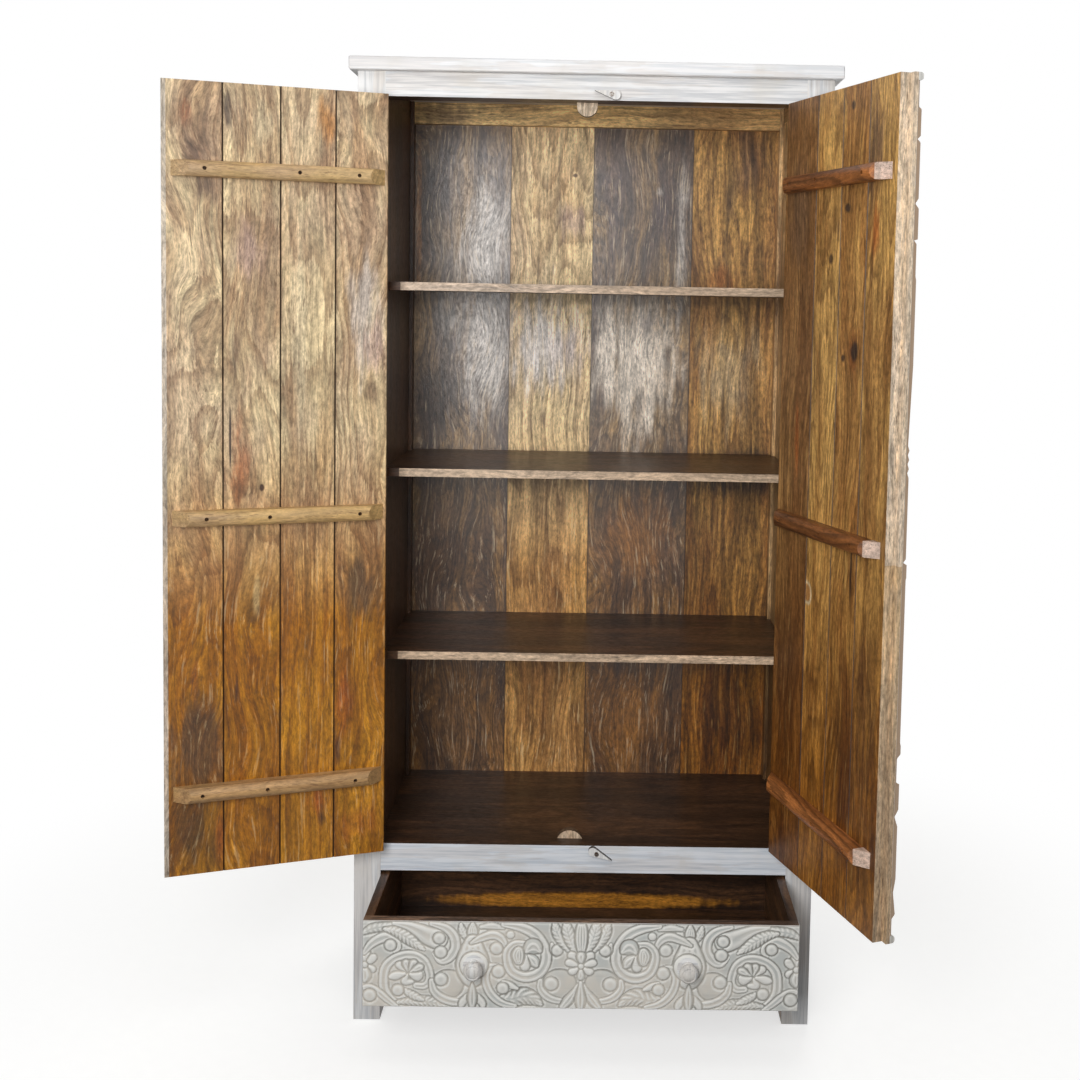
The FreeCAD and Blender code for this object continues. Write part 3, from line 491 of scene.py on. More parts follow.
# spots as in spot(), from the hinge
doorBoards = {
    "left": [
        # the pale grey-white mark high on the outer plank is a painted reflection of the lamp on the varnish
        dict(honey, seed=11.0, wave=1.8, lines=13.0, spots=[
            (43, 1401, 42, 140, 0.6, reflectionTint), (24, 1326, 24, 60, 0.6, mauve), (29, 1251, 22, 34, 0.7, smokeAndShade),
            (50, 869, 56, 96, 0.85, "#58422e", 0.3), (77, 664, 20, 99, 0.75, rust),
            (90, 568, 11, 44, 0.8, knot), (50, 1700, 42, 60, 0.5, "#b08c64"), (60, 420, 60, 40, 0.4, rust)]),
        dict(honey, seed=12.3, wave=0.6, lines=11.0, balance=0.55, spots=[
            (118, 1746, 26, 60, 0.75, ember), (162, 1362, 19, 240, 0.5, cream), (126, 475, 26, 44, 0.8, rust),
            (120, 440, 12, 20, 0.7, knot), (118, 1150, 22, 160, 0.35, ember)]),
        dict(honey, seed=13.9, wave=1.5, lines=14.0, spots=[
            (268, 1125, 22, 105, 0.7, rust), (276, 1325, 16, 60, 0.65, smokeAndShade), (250, 1506, 40, 66, 0.55, mauve),
            (289, 1762, 11, 74, 0.85, sootAndShade, 0.3), (229, 1074, 6, 9, 0.95, knot, 0.5),
            (274, 690, 5, 38, 0.85, knot), (238, 865, 9, 60, 0.4, "#e8ce96"),
            (285, 1162, 2.4, 76, 0.95, sootAndShade, 0.6), (225, 1730, 26, 60, 0.4, cream)]),
        dict(honey, seed=15.2, wave=2.2, balance=0.46, spots=[
            (345, 1700, 46, 110, 0.6, smokeAndShade), (348, 1670, 24, 46, 0.6, smokeAndShade), (322, 1610, 28, 34, 0.75, smokeAndShade),
            (361, 1739, 16, 34, 0.5, rust), (335, 600, 76, 140, 0.8, "#503a28", 0.3),
            (360, 436, 74, 110, 0.8, "#422c18"), (350, 720, 14, 60, 0.4, rust), (300, 436, 20, 60, 0.6, rust)],
            painted=[(["x > 0.3935", plane["doorInside"]], "#beb4a6", 0.75)]),
    ],
    "right": [
        dict(amber, seed=21.0, balance=0.42, light="#b08450", dark="#7c5632", spots=[
            (60, 1600, 52, 150, 0.6, smokeAndShade), (24, 1780, 40, 60, 0.5, smokeAndShade), (49, 772, 60, 200, 0.6, "#4e301c"),
            (70, 1180, 10, 90, 0.6, rust)]),
        dict(amber, seed=22.3, wave=0.8, light="#d4a660", dark="#ac7c42", spots=[
            (203, 1768, 11, 24, 0.6, knot), (202, 1557, 12, 26, 0.6, smokeAndShade), (181, 1507, 11, 13, 0.9, sootAndShade, 0.4),
            (128, 900, 20, 26, 0.75, cream, 0.7), (128, 900, 15, 20, 0.9, ember, 0.7)]),
        dict(amber, seed=23.9, wave=0.9, light="#d0a25c", dark="#a4743e", spots=[
            (244, 1768, 9, 11, 0.9, sootAndShade, 0.4), (234, 1594, 14, 11, 0.95, sootAndShade, 0.4),
            (262, 1347, 34, 70, 0.4, rust), (270, 1347, 26, 44, 0.6, knot), (270, 1347, 17, 22, 0.97, sootAndShade, 0.5),
            (233, 1335, 9, 9, 0.9, sootAndShade, 0.4), (281, 970, 5, 84, 0.9, sootAndShade, 0.4),
            (280, 640, 60, 220, 0.6, knot)]),
        dict(amber, seed=25.2, balance=0.54, spots=[
            (311, 1685, 60, 110, 0.8, smokeAndShade), (325, 1544, 24, 60, 0.75, rust), (318, 1500, 8, 60, 0.7, knot),
            (335, 720, 62, 230, 0.7, "#543620"), (340, 480, 60, 110, 0.6, knot)],
            painted=[(["x < -0.3890", "z > 1.0"], "#eee0cc", 0.65), (["x < -0.3890", "z < 1.0"], "#dcc8aa", 0.55)]),
    ],
}
doorJoint = {"half": 0.0012, "share": 0.92, "from": 0.02, "to": 0.38}


def asClosed(side, node):
    # a door node's points read from its hinge, with the door shut
    turn = Matrix.Rotation(-openTurn[side], 4, "Z")
    return [turn @ (v.co - Vector(hingePin[side])) for v in node.data.vertices]


for side, looks in doorBoards.items():
    flip = 1 if side == "left" else -1
    for number, look in enumerate(looks, 1):
        plank = f"{side}_door_plank_{number}"
        reach = [point.x for point in asClosed(side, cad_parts[plank])]
        joints = [(edge, doorJoint["half"], doorJoint["share"]) for edge in (min(reach), max(reach))
                  if doorJoint["from"] < abs(edge) < doorJoint["to"]]
        spots = [spot(flip * x, *more) for x, *more in look["spots"]]
        outside = dict(lime, seed=70.0 + number * flip, white="#e2e0da", grey="#bebeba")
        dress([plank], finishBoard(f"wood_{side}_door_{number}", dict(look, joints=joints, spots=spots), outside,
                                   [plane["doorInside"]], door=side))

battens = {
    "left": dict(
        honey, seed=31.0, balance=0.58, light="#ccac78", dark="#b4905e", low=(0.9, 0.80, 0.62),
        contrast=0.22, stripes=0.1, gleam=0.1, ringShare=0.25),
    "right": dict(
        satinDark, seed=33.0, light="#ac6c3a", dark="#6c4226", patch="#7c4e2e", contrast=0.3, painted=[
            (["x < -0.3505"], "#ceb6a6", 0.85),
            (["z > 0.9", "z < 1.2", "x > -0.3505"], "#462c1a", 0.4)]),
}
for side, look in battens.items():
    dress([f"{side}_door_{row}_batten" for row in ("upper", "middle", "lower")],
          finishBoard(f"wood_{side}_battens", look, along="x", door=side))

# shelves: the pale front edge stops short of both ends, which stay dark as painted shadow of the posts
dress(["upper_shelf", "middle_shelf", "lower_shelf"], finishBoard("wood_shelves", dict(
    satinDark, seed=41.0, painted=[(["y < -0.1515", "|x| < 0.3770"], "#ceb498", 0.8)]), along="x"))
dress(["cabinet_floor"], finishBoard("wood_floor", dict(satinDark, seed=42.0), along="x"))
# the smoke mark at the left end of the head rail is a painted shadow of the front frame
dress(["back_top_rail"], finishBoard("wood_head_rail", dict(
    amber, seed=45.0, light="#fcd692", dark="#deb67a", ring="#966e44", spots=[spot(-330, 1827, 90, 60, 0.6, smokeAndShade)]),
    along="x"))
dress(["back_low_rail"], finishBoard("wood_low_rail", dict(walnut, seed=46.0), along="x"))
dress(["drawer_bottom"], finishBoard("wood_drawer_long", dict(satinDark, seed=47.0), along="x"))
dress(["drawer_left_side", "drawer_right_side", "left_drawer_runner", "right_drawer_runner"],
      finishBoard("wood_drawer_sides", dict(satinDark, seed=48.0, light="#785436"), along="y"))
# the ochre band low on the drawer back is a painted pool of light: the strip that the lamp reaches under the shadow of
# the mid rail
dress(["drawer_back"], finishBoard("wood_drawer_back", dict(
    satinDark, seed=49.0, spots=[spot(0, 172, 345, 21, 0.8, "#ce8a30", 0.6)]), along="x"))

# whitewash outside, dark wood where a board faces into the cabinet
inside = dict(satinDark, seed=43.0)
# the right side's inner face is given paler wood than the left's: painted light where the lamp reaches that wall
insideRightLit = dict(amber, seed=44.0, light="#f6ce94", dark="#c49e70", low=(0.24, 0.19, 0.14))
for side, wood in (("left", inside), ("right", insideRightLit)):
    wall = plane["insideWall"]
    dress([f"front_{side}_post", f"back_{side}_post"],
          finishBoard(f"limed_{side}_posts", wood, lime, [wall, plane["face"]]))
    dress([f"{side}_side_panel"], finishBoard(f"limed_{side}_panel", wood, dict(lime, seed=52.0), [wall]))
    dress([f"{side}_side_top_rail", f"{side}_side_low_rail"],
          finishBoard(f"limed_{side}_rails", wood, dict(lime, seed=55.0), [wall], along="y"))
dress(["cornice_board"], finishBoard("limed_cornice", lime=dict(
    lime, seed=53.0, white="#f6f6f7", grey="#e4e6e9"), along="x"))
dress(["top_rail"], finishBoard("limed_top_rail", inside, dict(lime, seed=53.0), [plane["face"]], along="x"))
dress(["mid_rail"], finishBoard("limed_mid_rail", inside, dict(
    lime, seed=54.0, white="#ecf0f6", grey="#ccd4de"), [plane["face"]], along="x"))
dress(["drawer_front"], finishBoard(
    "limed_drawer_front", dict(inside, light="#826854", dark="#604838"), dict(lime, seed=56.0),
    ["y > -0.4185", "|x| < 0.3955", "z > 0.1415"], along="x"))
# only the catches' front faces are whitewashed; their dark sides are a painted shadow outline round each catch
dress(["upper_catch", "lower_catch"], finishBoard(
    "limed_catches", dict(inside, light="#46403a", dark="#302c28"), dict(lime, seed=57.0, white="#f4f3f0"),
    ["y > -0.2236"]))
dress(["upper_door_stop", "lower_door_stop"], finishBoard("wood_stops", dict(
    honey, seed=58.0, light="#e2ccb0", dark="#c4a888", low=(1, 1, 1), ring="#96785a", lines=30.0,
    painted=[(["y > -0.1786"], "#483222", 0.9)])))


def darkSteel(name, tone, rough):
    finish, tree = startMaterial(name)
    stain = noise(tree, objectPlace(tree), 260.0, 4.0)[0]
    colour = blend(tree, spread(tree, stain, 0.45, 0.7), tone, "#543a28")
    wear = spread(tree, stain, 0.3, 0.7, rough - 0.08, rough + 0.15)
    endMaterial(tree, colour, wear, stain, (0.2, 0.0003), 1.0)
    return finish


dress(["hinge_frame_leaves", "hinge_pins", "left_door_hinge_leaves", "right_door_hinge_leaves",
       "upper_catch_screw", "lower_catch_screw"], darkSteel("hinge_steel", "#787470", 0.42))
dress(["left_door_batten_screws", "right_door_batten_screws"], darkSteel("screw_steel", "#2e2620", 0.55))
print("woods and metal dressed")

# A carved face is a fine grid whose points are raised by the forms laid on it, each with a sunk line round it.
# Forms are given in millimetres: across and up on the drawer, turned and enlarged for the doors.
relief = {
    "broader": 1.22,     # a form's half widths are taken this much wider than given
    "line": 3.5,         # reach of the sunk line round a form
    "slope": 3.0,        # of the far side of that line
    "gap": 1.5,          # height left in it
    "section": (3.0, 0.6),    # powers of a form's rounded section
    "rim": 0.45,         # share of the half width that a hollow takes
    "least": 0.3,
}


def form(line, rise=5.0, **more):
    # a form along (across, up, half width) points; ribs, flutes, hollow, round and gap shape it
    return dict(more, line=line, rise=rise)


def curl(x, z, r, rise=4.3):
    return form([(x - 0.1, z, r), (x + 0.1, z, r)], min(rise, 4.6), round=3.6, gap=2.0)


def smoothLine(points, steps=9):
    rows = np.array([points[0], *points, points[-1]], float)
    out = []
    for a, b, c, d in zip(rows, rows[1:], rows[2:], rows[3:]):
        t = np.linspace(0, 1, steps, endpoint=False)[:, None]
        out.append(0.5 * (2 * b + (c - a) * t + (2 * a - 5 * b + 4 * c - d) * t**2 + (3 * b - a - 3 * c + d) * t**3))
    return np.vstack([*out, rows[-1:]])


def newBoard(low, high, look):
    # the grid of a carved face, with the height of each point
    count = [int(round((high[i] - low[i]) / look["grid"])) + 1 for i in (0, 1)]
    across, up = np.meshgrid(*(np.linspace(low[i], high[i], count[i]) for i in (0, 1)), indexing="ij")
    step = [(high[i] - low[i]) / (count[i] - 1) for i in (0, 1)]
    return {"low": low, "step": step, "count": count, "across": across, "up": up, "scale": look["scale"],
            "lift": look["lift"], "rise": np.full(across.shape, look["rest"] * look["lift"])}


def nearestOnLine(line, a, b):
    # for each point: how far outside the drawn band it lies, and where it lies across, along and beside it
    best = np.full(a.shape, 1e9)
    share, along, side = np.zeros(a.shape), np.zeros(a.shape), np.zeros(a.shape)
    run = 0.0
    for (x0, z0, w0), (x1, z1, w1) in zip(line, line[1:]):
        dx, dz = x1 - x0, z1 - z0
        length = math.hypot(dx, dz)
        if length < 1e-6:
            continue
        t = np.clip(((a - x0) * dx + (b - z0) * dz) / length**2, 0, 1)
        off = np.hypot(a - x0 - t * dx, b - z0 - t * dz)
        half = w0 + t * (w1 - w0)
        nearer = off - half < best
        best = np.where(nearer, off - half, best)
        share = np.where(nearer, off / np.maximum(half, 0.1), share)
        along = np.where(nearer, run + t * length, along)
        side = np.where(nearer, np.sign((a - x0) * dz - (b - z0) * dx), side)
        run += length
    return best, np.clip(share, 0, 1), along, side


def layForm(board, shape, move):
    line = smoothLine([move(*p) for p in shape["line"]])
    line[:, 2] *= relief["broader"]
    reach = line[:, 2].max() + relief["line"] * board["scale"]
    low, high = line[:, :2].min(0) - reach, line[:, :2].max(0) + reach
    first = [max(0, int((low[i] - board["low"][i]) / board["step"][i])) for i in (0, 1)]
    last = [min(board["count"][i], int((high[i] - board["low"][i]) / board["step"][i]) + 2) for i in (0, 1)]
    if first[0] >= last[0] or first[1] >= last[1]:
        return
    part = (slice(first[0], last[0]), slice(first[1], last[1]))
    best, across, along, side = nearestOnLine(line, board["across"][part], board["up"][part])
    rise = shape["rise"] * board["lift"]
    section, power = relief["section"]
    height = rise * (1 - across ** shape.get("round", section)) ** power
    if "hollow" in shape:     # a band with a raised rim
        height *= 1 - shape["hollow"] * np.exp(-((across / relief["rim"]) ** 2))
    if "ribs" in shape:       # slanted cuts on both sides of a sunk middle vein
        pitch, slant, deep = shape["ribs"]
        pitch *= board["scale"]
        wave = np.cos(2 * np.pi * (along - slant * across * pitch) / pitch)
        height *= 1 - deep * (0.5 + 0.5 * wave) * np.clip(across * 1.6, 0.25, 1)
        height -= 0.12 * rise * np.exp(-((across / 0.1) ** 2))
    if "flutes" in shape:     # cuts along the form
        count, deep = shape["flutes"]
        height *= 1 - deep * (0.5 + 0.5 * np.cos(np.pi * across * side * count))
    slope = relief["slope"] * board["lift"] / board["scale"]
    moat = np.clip(best * slope, 0, None) + shape.get("gap", relief["gap"]) * board["lift"]
    board["rise"][part] = np.where(
        best < 0, np.maximum(height, relief["least"]), np.minimum(board["rise"][part], moat))


def soften(field, reach):
    # the mean over 2 * reach + 1 points each way
    for axis in (0, 1):
        padded = np.concatenate([np.repeat(np.take(field, [0], axis), reach, axis), field,
                                 np.repeat(np.take(field, [-1], axis), reach, axis)], axis)
        run = np.cumsum(padded, axis)
        run = np.concatenate([np.zeros_like(np.take(run, [0], axis)), run], axis)
        width = 2 * reach + 1
        size = field.shape[axis]
        field = (np.take(run, range(width, width + size), axis) - np.take(run, range(size), axis)) / width
    return field


# one half of the drawer's design; the other half is its mirror
drawerForms = [
    # corner leaves and the edge flower
    form([(-394, 278, 4), (-376, 287, 8), (-352, 291, 7), (-334, 296, 3)], 3.6, ribs=(9, 0.5, 0.25)),
    form([(-388, 224, 4), (-389, 238, 9), (-388, 247, 4)], 4.6, flutes=(3, 0.2)),
    form([(-385, 221, 4), (-376, 231, 7), (-373, 235, 4)], 5.2),
    form([(-385, 216, 4), (-378, 211, 7), (-374, 210, 4)]),
    form([(-390, 213, 4), (-389, 200, 10), (-390, 190, 5)], flutes=(3, 0.25)),
    curl(-390, 219, 5.5, 6.4),
    # comma scroll, upper left
    form([(-391, 241, 4), (-379, 257, 7), (-362, 268, 8.5), (-345, 271, 8), (-333, 263, 5.5), (-329, 252, 4.5),
          (-336, 244, 3)], hollow=0.3),
    curl(-344, 256, 10),
    # C-scroll with its shell flower
    form([(-316, 141, 5), (-340, 152, 7), (-354, 172, 8), (-356, 195, 8), (-352, 215, 8), (-338, 230, 7.5),
          (-318, 238, 7.5), (-299, 237, 7.5), (-283, 227, 7.5), (-274, 209, 7), (-273, 192, 6.5), (-282, 181, 6),
          (-297, 181, 5)], 5.4, hollow=0.35),
    form([(-312, 207, 3), (-326, 218, 7), (-330, 220, 4)], 4.4),
    form([(-311, 208, 3), (-315, 221, 7), (-316, 226, 4)], 4.8, flutes=(3, 0.25)),
    form([(-308, 208, 3), (-302, 221, 7.5), (-301, 226, 4)], flutes=(3, 0.25)),
    form([(-306, 206, 3), (-292, 215, 7), (-286, 216, 3)], 4.8, flutes=(3, 0.2)),
    form([(-307, 202, 3), (-295, 198, 8), (-289, 203, 4)]),
    form([(-314, 200, 3), (-317, 189, 7), (-305, 188, 4)], 4.8),
    form([(-318, 203, 3), (-334, 199, 7.5), (-343, 197, 4)], 5.4),
    # S-scroll and the ribbed leaf under it
    form([(-354, 286, 4), (-332, 281, 9), (-312, 270, 11), (-296, 258, 8), (-283, 248, 2.5)], 4.8, ribs=(8, 1.2, 0.4)),
    form([(-338, 297, 3), (-314, 293, 7), (-293, 284, 11), (-276, 274, 15), (-260, 269, 17)], 5.2, hollow=0.2),
    curl(-256, 270, 10),
    form([(-270, 297, 4), (-244, 289, 7), (-229, 273, 8), (-227, 251, 8), (-238, 234, 8), (-252, 229, 7),
          (-263, 241, 5)], 5.2, hollow=0.3),
    curl(-253, 244, 10.5),
    # lower leaves between the C-scroll and the vase
    form([(-330, 149, 4), (-305, 151, 8), (-278, 151, 10), (-252, 147, 8), (-228, 143, 4)], 3.8, ribs=(8.5, 1.4, 0.45)),
    form([(-240, 184, 23), (-238, 184, 23)], 3.6, round=4.0),
    form([(-204, 151, 5), (-228, 151, 7), (-250, 158, 7.5), (-265, 172, 6.5), (-269, 190, 5)], hollow=0.3),
    curl(-252, 193, 11),
    form([(-322, 176, 2), (-312, 168, 6), (-298, 160, 7), (-284, 154, 3)], 4.6, ribs=(7, 1.0, 0.3)),
    curl(-330, 172, 10),
    form([(-332, 141, 4), (-350, 155, 6), (-364, 167, 6.5), (-380, 177, 5.5), (-393, 176, 4)], hollow=0.25),
    curl(-381, 162, 11),
    # leaf spray, vase and pointed leaf at the knob
    form([(-200, 262, 3), (-213, 282, 7), (-217, 297, 3)], 4.4, ribs=(6, 0.8, 0.25)),
    form([(-191, 262, 3), (-178, 282, 6), (-170, 297, 3)], 4.4, ribs=(6, 0.8, 0.25)),
    form([(-195.5, 260, 4), (-195.5, 282, 9), (-195.5, 299, 3)], flutes=(5, 0.3)),
    form([(-195, 263, 13), (-195, 246, 19), (-195, 222, 26), (-195, 204, 21),
          (-195, 190, 9)], 5.4, round=3.6, flutes=(4, 0.12)),
    form([(-197, 170, 2), (-205, 160, 6), (-213, 150, 6.5), (-215, 142, 4)], 4.4),
    form([(-193, 170, 2), (-185, 160, 6), (-177, 150, 6.5), (-175, 142, 4)], 4.4),
    form([(-195, 190, 1), (-195, 174, 6), (-195, 158, 8.5), (-195, 143, 5)], flutes=(3, 0.3)),
    # stems and balls right of the knob
    form([(-141, 161, 5), (-122, 158, 13), (-102, 163, 15), (-84, 158, 11), (-70, 148, 4)], 3.8, ribs=(11, 1.5, 0.45)),
    form([(-151, 220, 3.5), (-161, 219, 5), (-169, 210, 6), (-171.5, 195, 6.5), (-166, 175, 7), (-154, 159, 7),
          (-138, 149, 6), (-118, 145, 4)], hollow=0.3),
    curl(-148, 209, 11),
    form([(-140, 190, 3), (-127, 184, 6), (-114, 178, 3)], 4.4),
    curl(-140, 178, 10),
    form([(-198, 262, 3), (-180, 271, 6.5), (-161, 277, 7.5), (-146, 273, 7), (-137, 260, 5),
          (-139, 247, 4)], hollow=0.25),
    curl(-152, 252, 10.5),
    curl(-127, 278, 7, 4.6),
    form([(-180, 292, 4), (-160, 294, 6), (-140, 291, 4)], 3.6),
    # ring, its long leaf and the rosette
    form([(-103, 262, 5), (-119, 260, 7), (-131, 247, 7.5), (-132, 228, 7.5), (-124, 210, 8), (-108, 200.5, 8.5),
          (-92, 199.5, 9), (-75, 207, 9), (-63.5, 224, 8.5), (-62, 243, 8.5), (-70, 263, 9), (-85, 281, 9),
          (-108, 292, 8), (-140, 297, 4)], 5.6, hollow=0.35),
    form([(-98, 247, 4), (-86, 257, 13), (-74, 249, 5)], 4.4, flutes=(3, 0.2)),
    form([(-94, 239, 3), (-85, 230, 9), (-80, 222, 5)], 4.8, flutes=(3, 0.2)),
    form([(-99, 237, 3), (-100, 222, 8.5), (-100, 216, 5)], 5.2),
    form([(-112, 230, 8), (-113, 240, 11), (-112, 248, 8)], flutes=(5, 0.35)),
    form([(-52, 262, 3), (-49, 250, 6), (-44, 242, 4)], 4.2),
    curl(-42, 250, 9.5),
    form([(-38, 184, 26), (-36, 184, 26)], 3.4, round=4.0),
    form([(-24, 154, 4), (-46, 157, 6), (-62, 165, 6.5), (-72, 179, 5.5), (-72, 193, 4)], hollow=0.3),
    curl(-52, 187, 11.5),
    # palmette and flower in the middle
    form([(-9, 240, 3), (-29, 262, 8), (-42, 282, 9), (-47, 299, 5)], 4.6, ribs=(8, 1.0, 0.3)),
    form([(-4, 240, 3), (-16, 264, 9), (-23, 284, 10), (-26, 300, 6)], ribs=(8, 1.0, 0.3)),
    form([(1.5, 240, 4), (1.5, 264, 10), (1.5, 288, 10), (1.5, 300, 6)], 5.8, flutes=(5, 0.35)),
    form([(0, 190, 2), (-10, 172, 6), (-21, 156, 8.5), (-31, 144, 6)], 4.4, flutes=(3, 0.2)),
    form([(1.5, 196, 2), (1.5, 176, 6), (1.5, 158, 9.5), (1.5, 143, 6)], flutes=(3, 0.3)),
    form([(-3, 226, 3), (-14, 239, 8), (-16, 243, 4)], 4.8),
    form([(-4, 221, 3), (-18, 227, 7), (-23, 226, 4)]),
    form([(-3, 217, 3), (-13, 211, 6.5), (-18, 212, 3)], 5.2),
    form([(1.5, 214, 3), (1.5, 203, 7), (1.5, 198, 4)], 5.4, flutes=(3, 0.25)),
    form([(1.5, 227, 3), (1.5, 238, 8), (1.5, 243, 5)], 5.4, flutes=(3, 0.25)),
    curl(1.5, 221, 5, 6.6),
]


def carvedSheet(name, board, placing, finish):
    # the grid, its rim drawn back into the board behind and closed
    across, up = board["count"]
    bpy.ops.mesh.primitive_grid_add(x_subdivisions=across - 1, y_subdivisions=up - 1, size=1)
    sheet = bpy.context.active_object
    sheet.name = sheet.data.name = name
    flat = np.zeros(len(sheet.data.vertices) * 3)
    sheet.data.vertices.foreach_get("co", flat)
    flat = flat.reshape(-1, 3) + 0.5
    row = np.rint(flat[:, 0] * (across - 1)).astype(int)
    column = np.rint(flat[:, 1] * (up - 1)).astype(int)
    points = np.stack([board["across"][row, column], -board["rise"][row, column], board["up"][row, column]], 1)
    sheet.data.vertices.foreach_set("co", points.ravel())
    bpy.ops.object.mode_set(mode="EDIT")
    bpy.ops.mesh.select_mode(type="EDGE")
    bpy.ops.mesh.select_all(action="DESELECT")
    bpy.ops.mesh.select_non_manifold(extend=False, use_wire=False, use_boundary=True, use_multi_face=False,
                                     use_non_contiguous=False, use_verts=False)
    bpy.ops.mesh.extrude_edges_move()
    bpy.ops.transform.resize(value=(1, 0, 1), center_override=(0, sheetBack, 0), orient_type="GLOBAL")
    bpy.ops.mesh.edge_face_add()
    bpy.ops.mesh.select_all(action="SELECT")
    bpy.ops.mesh.normals_make_consistent(inside=False)
    bpy.ops.object.mode_set(mode="OBJECT")

    # what lies lower than the points round it is painted as a groove, dark in the finish: partly dirt in the hollows,
    # partly painted shade
    deep = soften(board["rise"], 3) - board["rise"]
    above = board["rise"] - board["rise"].mean()
    mark = np.clip(0.5 + deep / (2.2 * board["lift"]) - above / (16 * board["lift"]), 0, 1)
    values = np.full(len(sheet.data.vertices), 0.5)
    values[: len(row)] = mark[row, column]
    sheet.data.attributes.new("sunk", "FLOAT", "POINT").data.foreach_set("value", values)
    sheet.data.transform(placing @ Matrix.Scale(0.001, 4))
    bpy.ops.object.shade_smooth_by_angle(angle=math.radians(60))
    sheet.data.materials.append(finish)
    return sheet


def limedCarving(name, look, door=None):
    finish, tree = startMaterial(name)
    turned, place = boardPlace(tree, look["along"], door)
    wash = put(tree, "Group", {"Place": turned, "Seed": look["seed"]}, node_tree=limewash).outputs
    sunk = put(tree, "Attribute", attribute_name="sunk").outputs["Fac"]
    colour = blend(tree, spread(tree, wash["Smudge"], 0.38, 0.64), look["grey"], look["cream"])
    colour = blend(tree, spread(tree, sunk, 0.50, 0.30), colour, look["white"])
    colour = blend(tree, spread(tree, wash["Streaks"], 0.52, 0.72, 0.0, 0.35), colour, look["smudge"])
    # dark grooves: partly dirt in the hollows, partly painted shade
    grooveDirtAndShade = spread(tree, wash["Smudge"], 0.36, 0.62, 0.95, 0.35)
    grooveDirtAndShade = maths(tree, "MULTIPLY", spread(tree, sunk, 0.55, 0.86), grooveDirtAndShade)
    colour = blend(tree, grooveDirtAndShade, colour, look["groove"])
    if door:     # worn to the wood along the meeting edge
        across = maths(tree, "ABSOLUTE", split(tree, place)[0])
        worn = spread(tree, across, look["worn"] - 0.002, look["worn"] + 0.001, 0.0, 0.85)
        colour = blend(tree, worn, colour, look["bare"])
    rough = spread(tree, wash["Streaks"], 0.3, 0.7, 0.66, 0.52)
    endMaterial(tree, colour, rough, wash["Streaks"], (0.25, 0.0006))
    return finish


sheetBack = 0.1     # mm that a carved sheet reaches into the board behind it
carvedLime = dict(grey="#c4c7c4", cream="#d8d2c8", white="#eae9e4", smudge="#bcb8b2", groove="#848078", bare="#9e7e5e")
drawerCarving = {
    "grid": 1.26, "scale": 1.0, "rest": 3.2, "lift": 1.0,
    "margin": 0.4,       # left bare along the edge
    "middle": 1.5,       # the design is drawn 1.5 mm off its middle
    "pad": form([(-0.1, 221, 21.5), (0.1, 221, 21.5)], 6.5, round=14),    # round the knobs, 194 mm from the middle
    "pads": (-194, 194),
    "ground": 7.0,       # depth of the carving's ground behind the box of the front
    "edge": (2.6, 1.4),  # height at the rim and its rise per mm
}


def carveDrawer():
    look = drawerCarving
    low, high = ([value * 1000 for value in corner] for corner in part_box("drawer_front"))
    rim, middle = look["margin"], look["middle"]
    board = newBoard((low[0] + rim, low[2] + rim), (high[0] - rim, high[2] - rim), look)
    for shape in drawerForms:
        layForm(board, shape, lambda x, z, half: (x - middle, z, half))
        layForm(board, shape, lambda x, z, half: (middle - x, z, half))
    for side in look["pads"]:
        layForm(board, look["pad"], lambda x, z, half: (side + x, z, half))
    across, up = board["across"], board["up"]
    height = np.clip(0.55 * board["rise"] + 0.45 * soften(board["rise"], 1), 0.25, 6.75)
    edge = np.minimum.reduce([across - across.min(), across.max() - across, up - up.min(), up.max() - up])
    board["rise"] = np.minimum(height, look["edge"][0] + edge * look["edge"][1])
    finish = limedCarving("limed_drawer_carving", dict(carvedLime, along="x", seed=61.0))
    placing = Matrix.Translation((0, (low[1] + look["ground"]) / 1000, 0))
    sheet = carvedSheet("drawer_carving", board, placing, finish)
    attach(sheet, "drawer")
    print("drawer carved:", len(sheet.data.vertices), "points")


carveDrawer()

# a turned knob, from the dowel's end to the dished face: distance before the drawer front and radius, in mm
knobRings = [
    (-12, 4.2), (-11, 5), (0, 5), (0, 12.6), (0.5, 13), (3.2, 13), (4, 12.4), (5, 10.4), (6.4, 9), (8, 8.5), (10, 9.2),
    (12, 11.6), (13.6, 14.4), (15.2, 16.2), (17, 17), (21, 17), (23.2, 16.2), (24.8, 14.6), (25.9, 12.8), (25.6, 12),
    (25.4, 11.2), (26.2, 10.4), (27.2, 8.4), (28.3, 5.2), (28.9, 2.4), (29, 0.8)]
knobHeight = 0.221


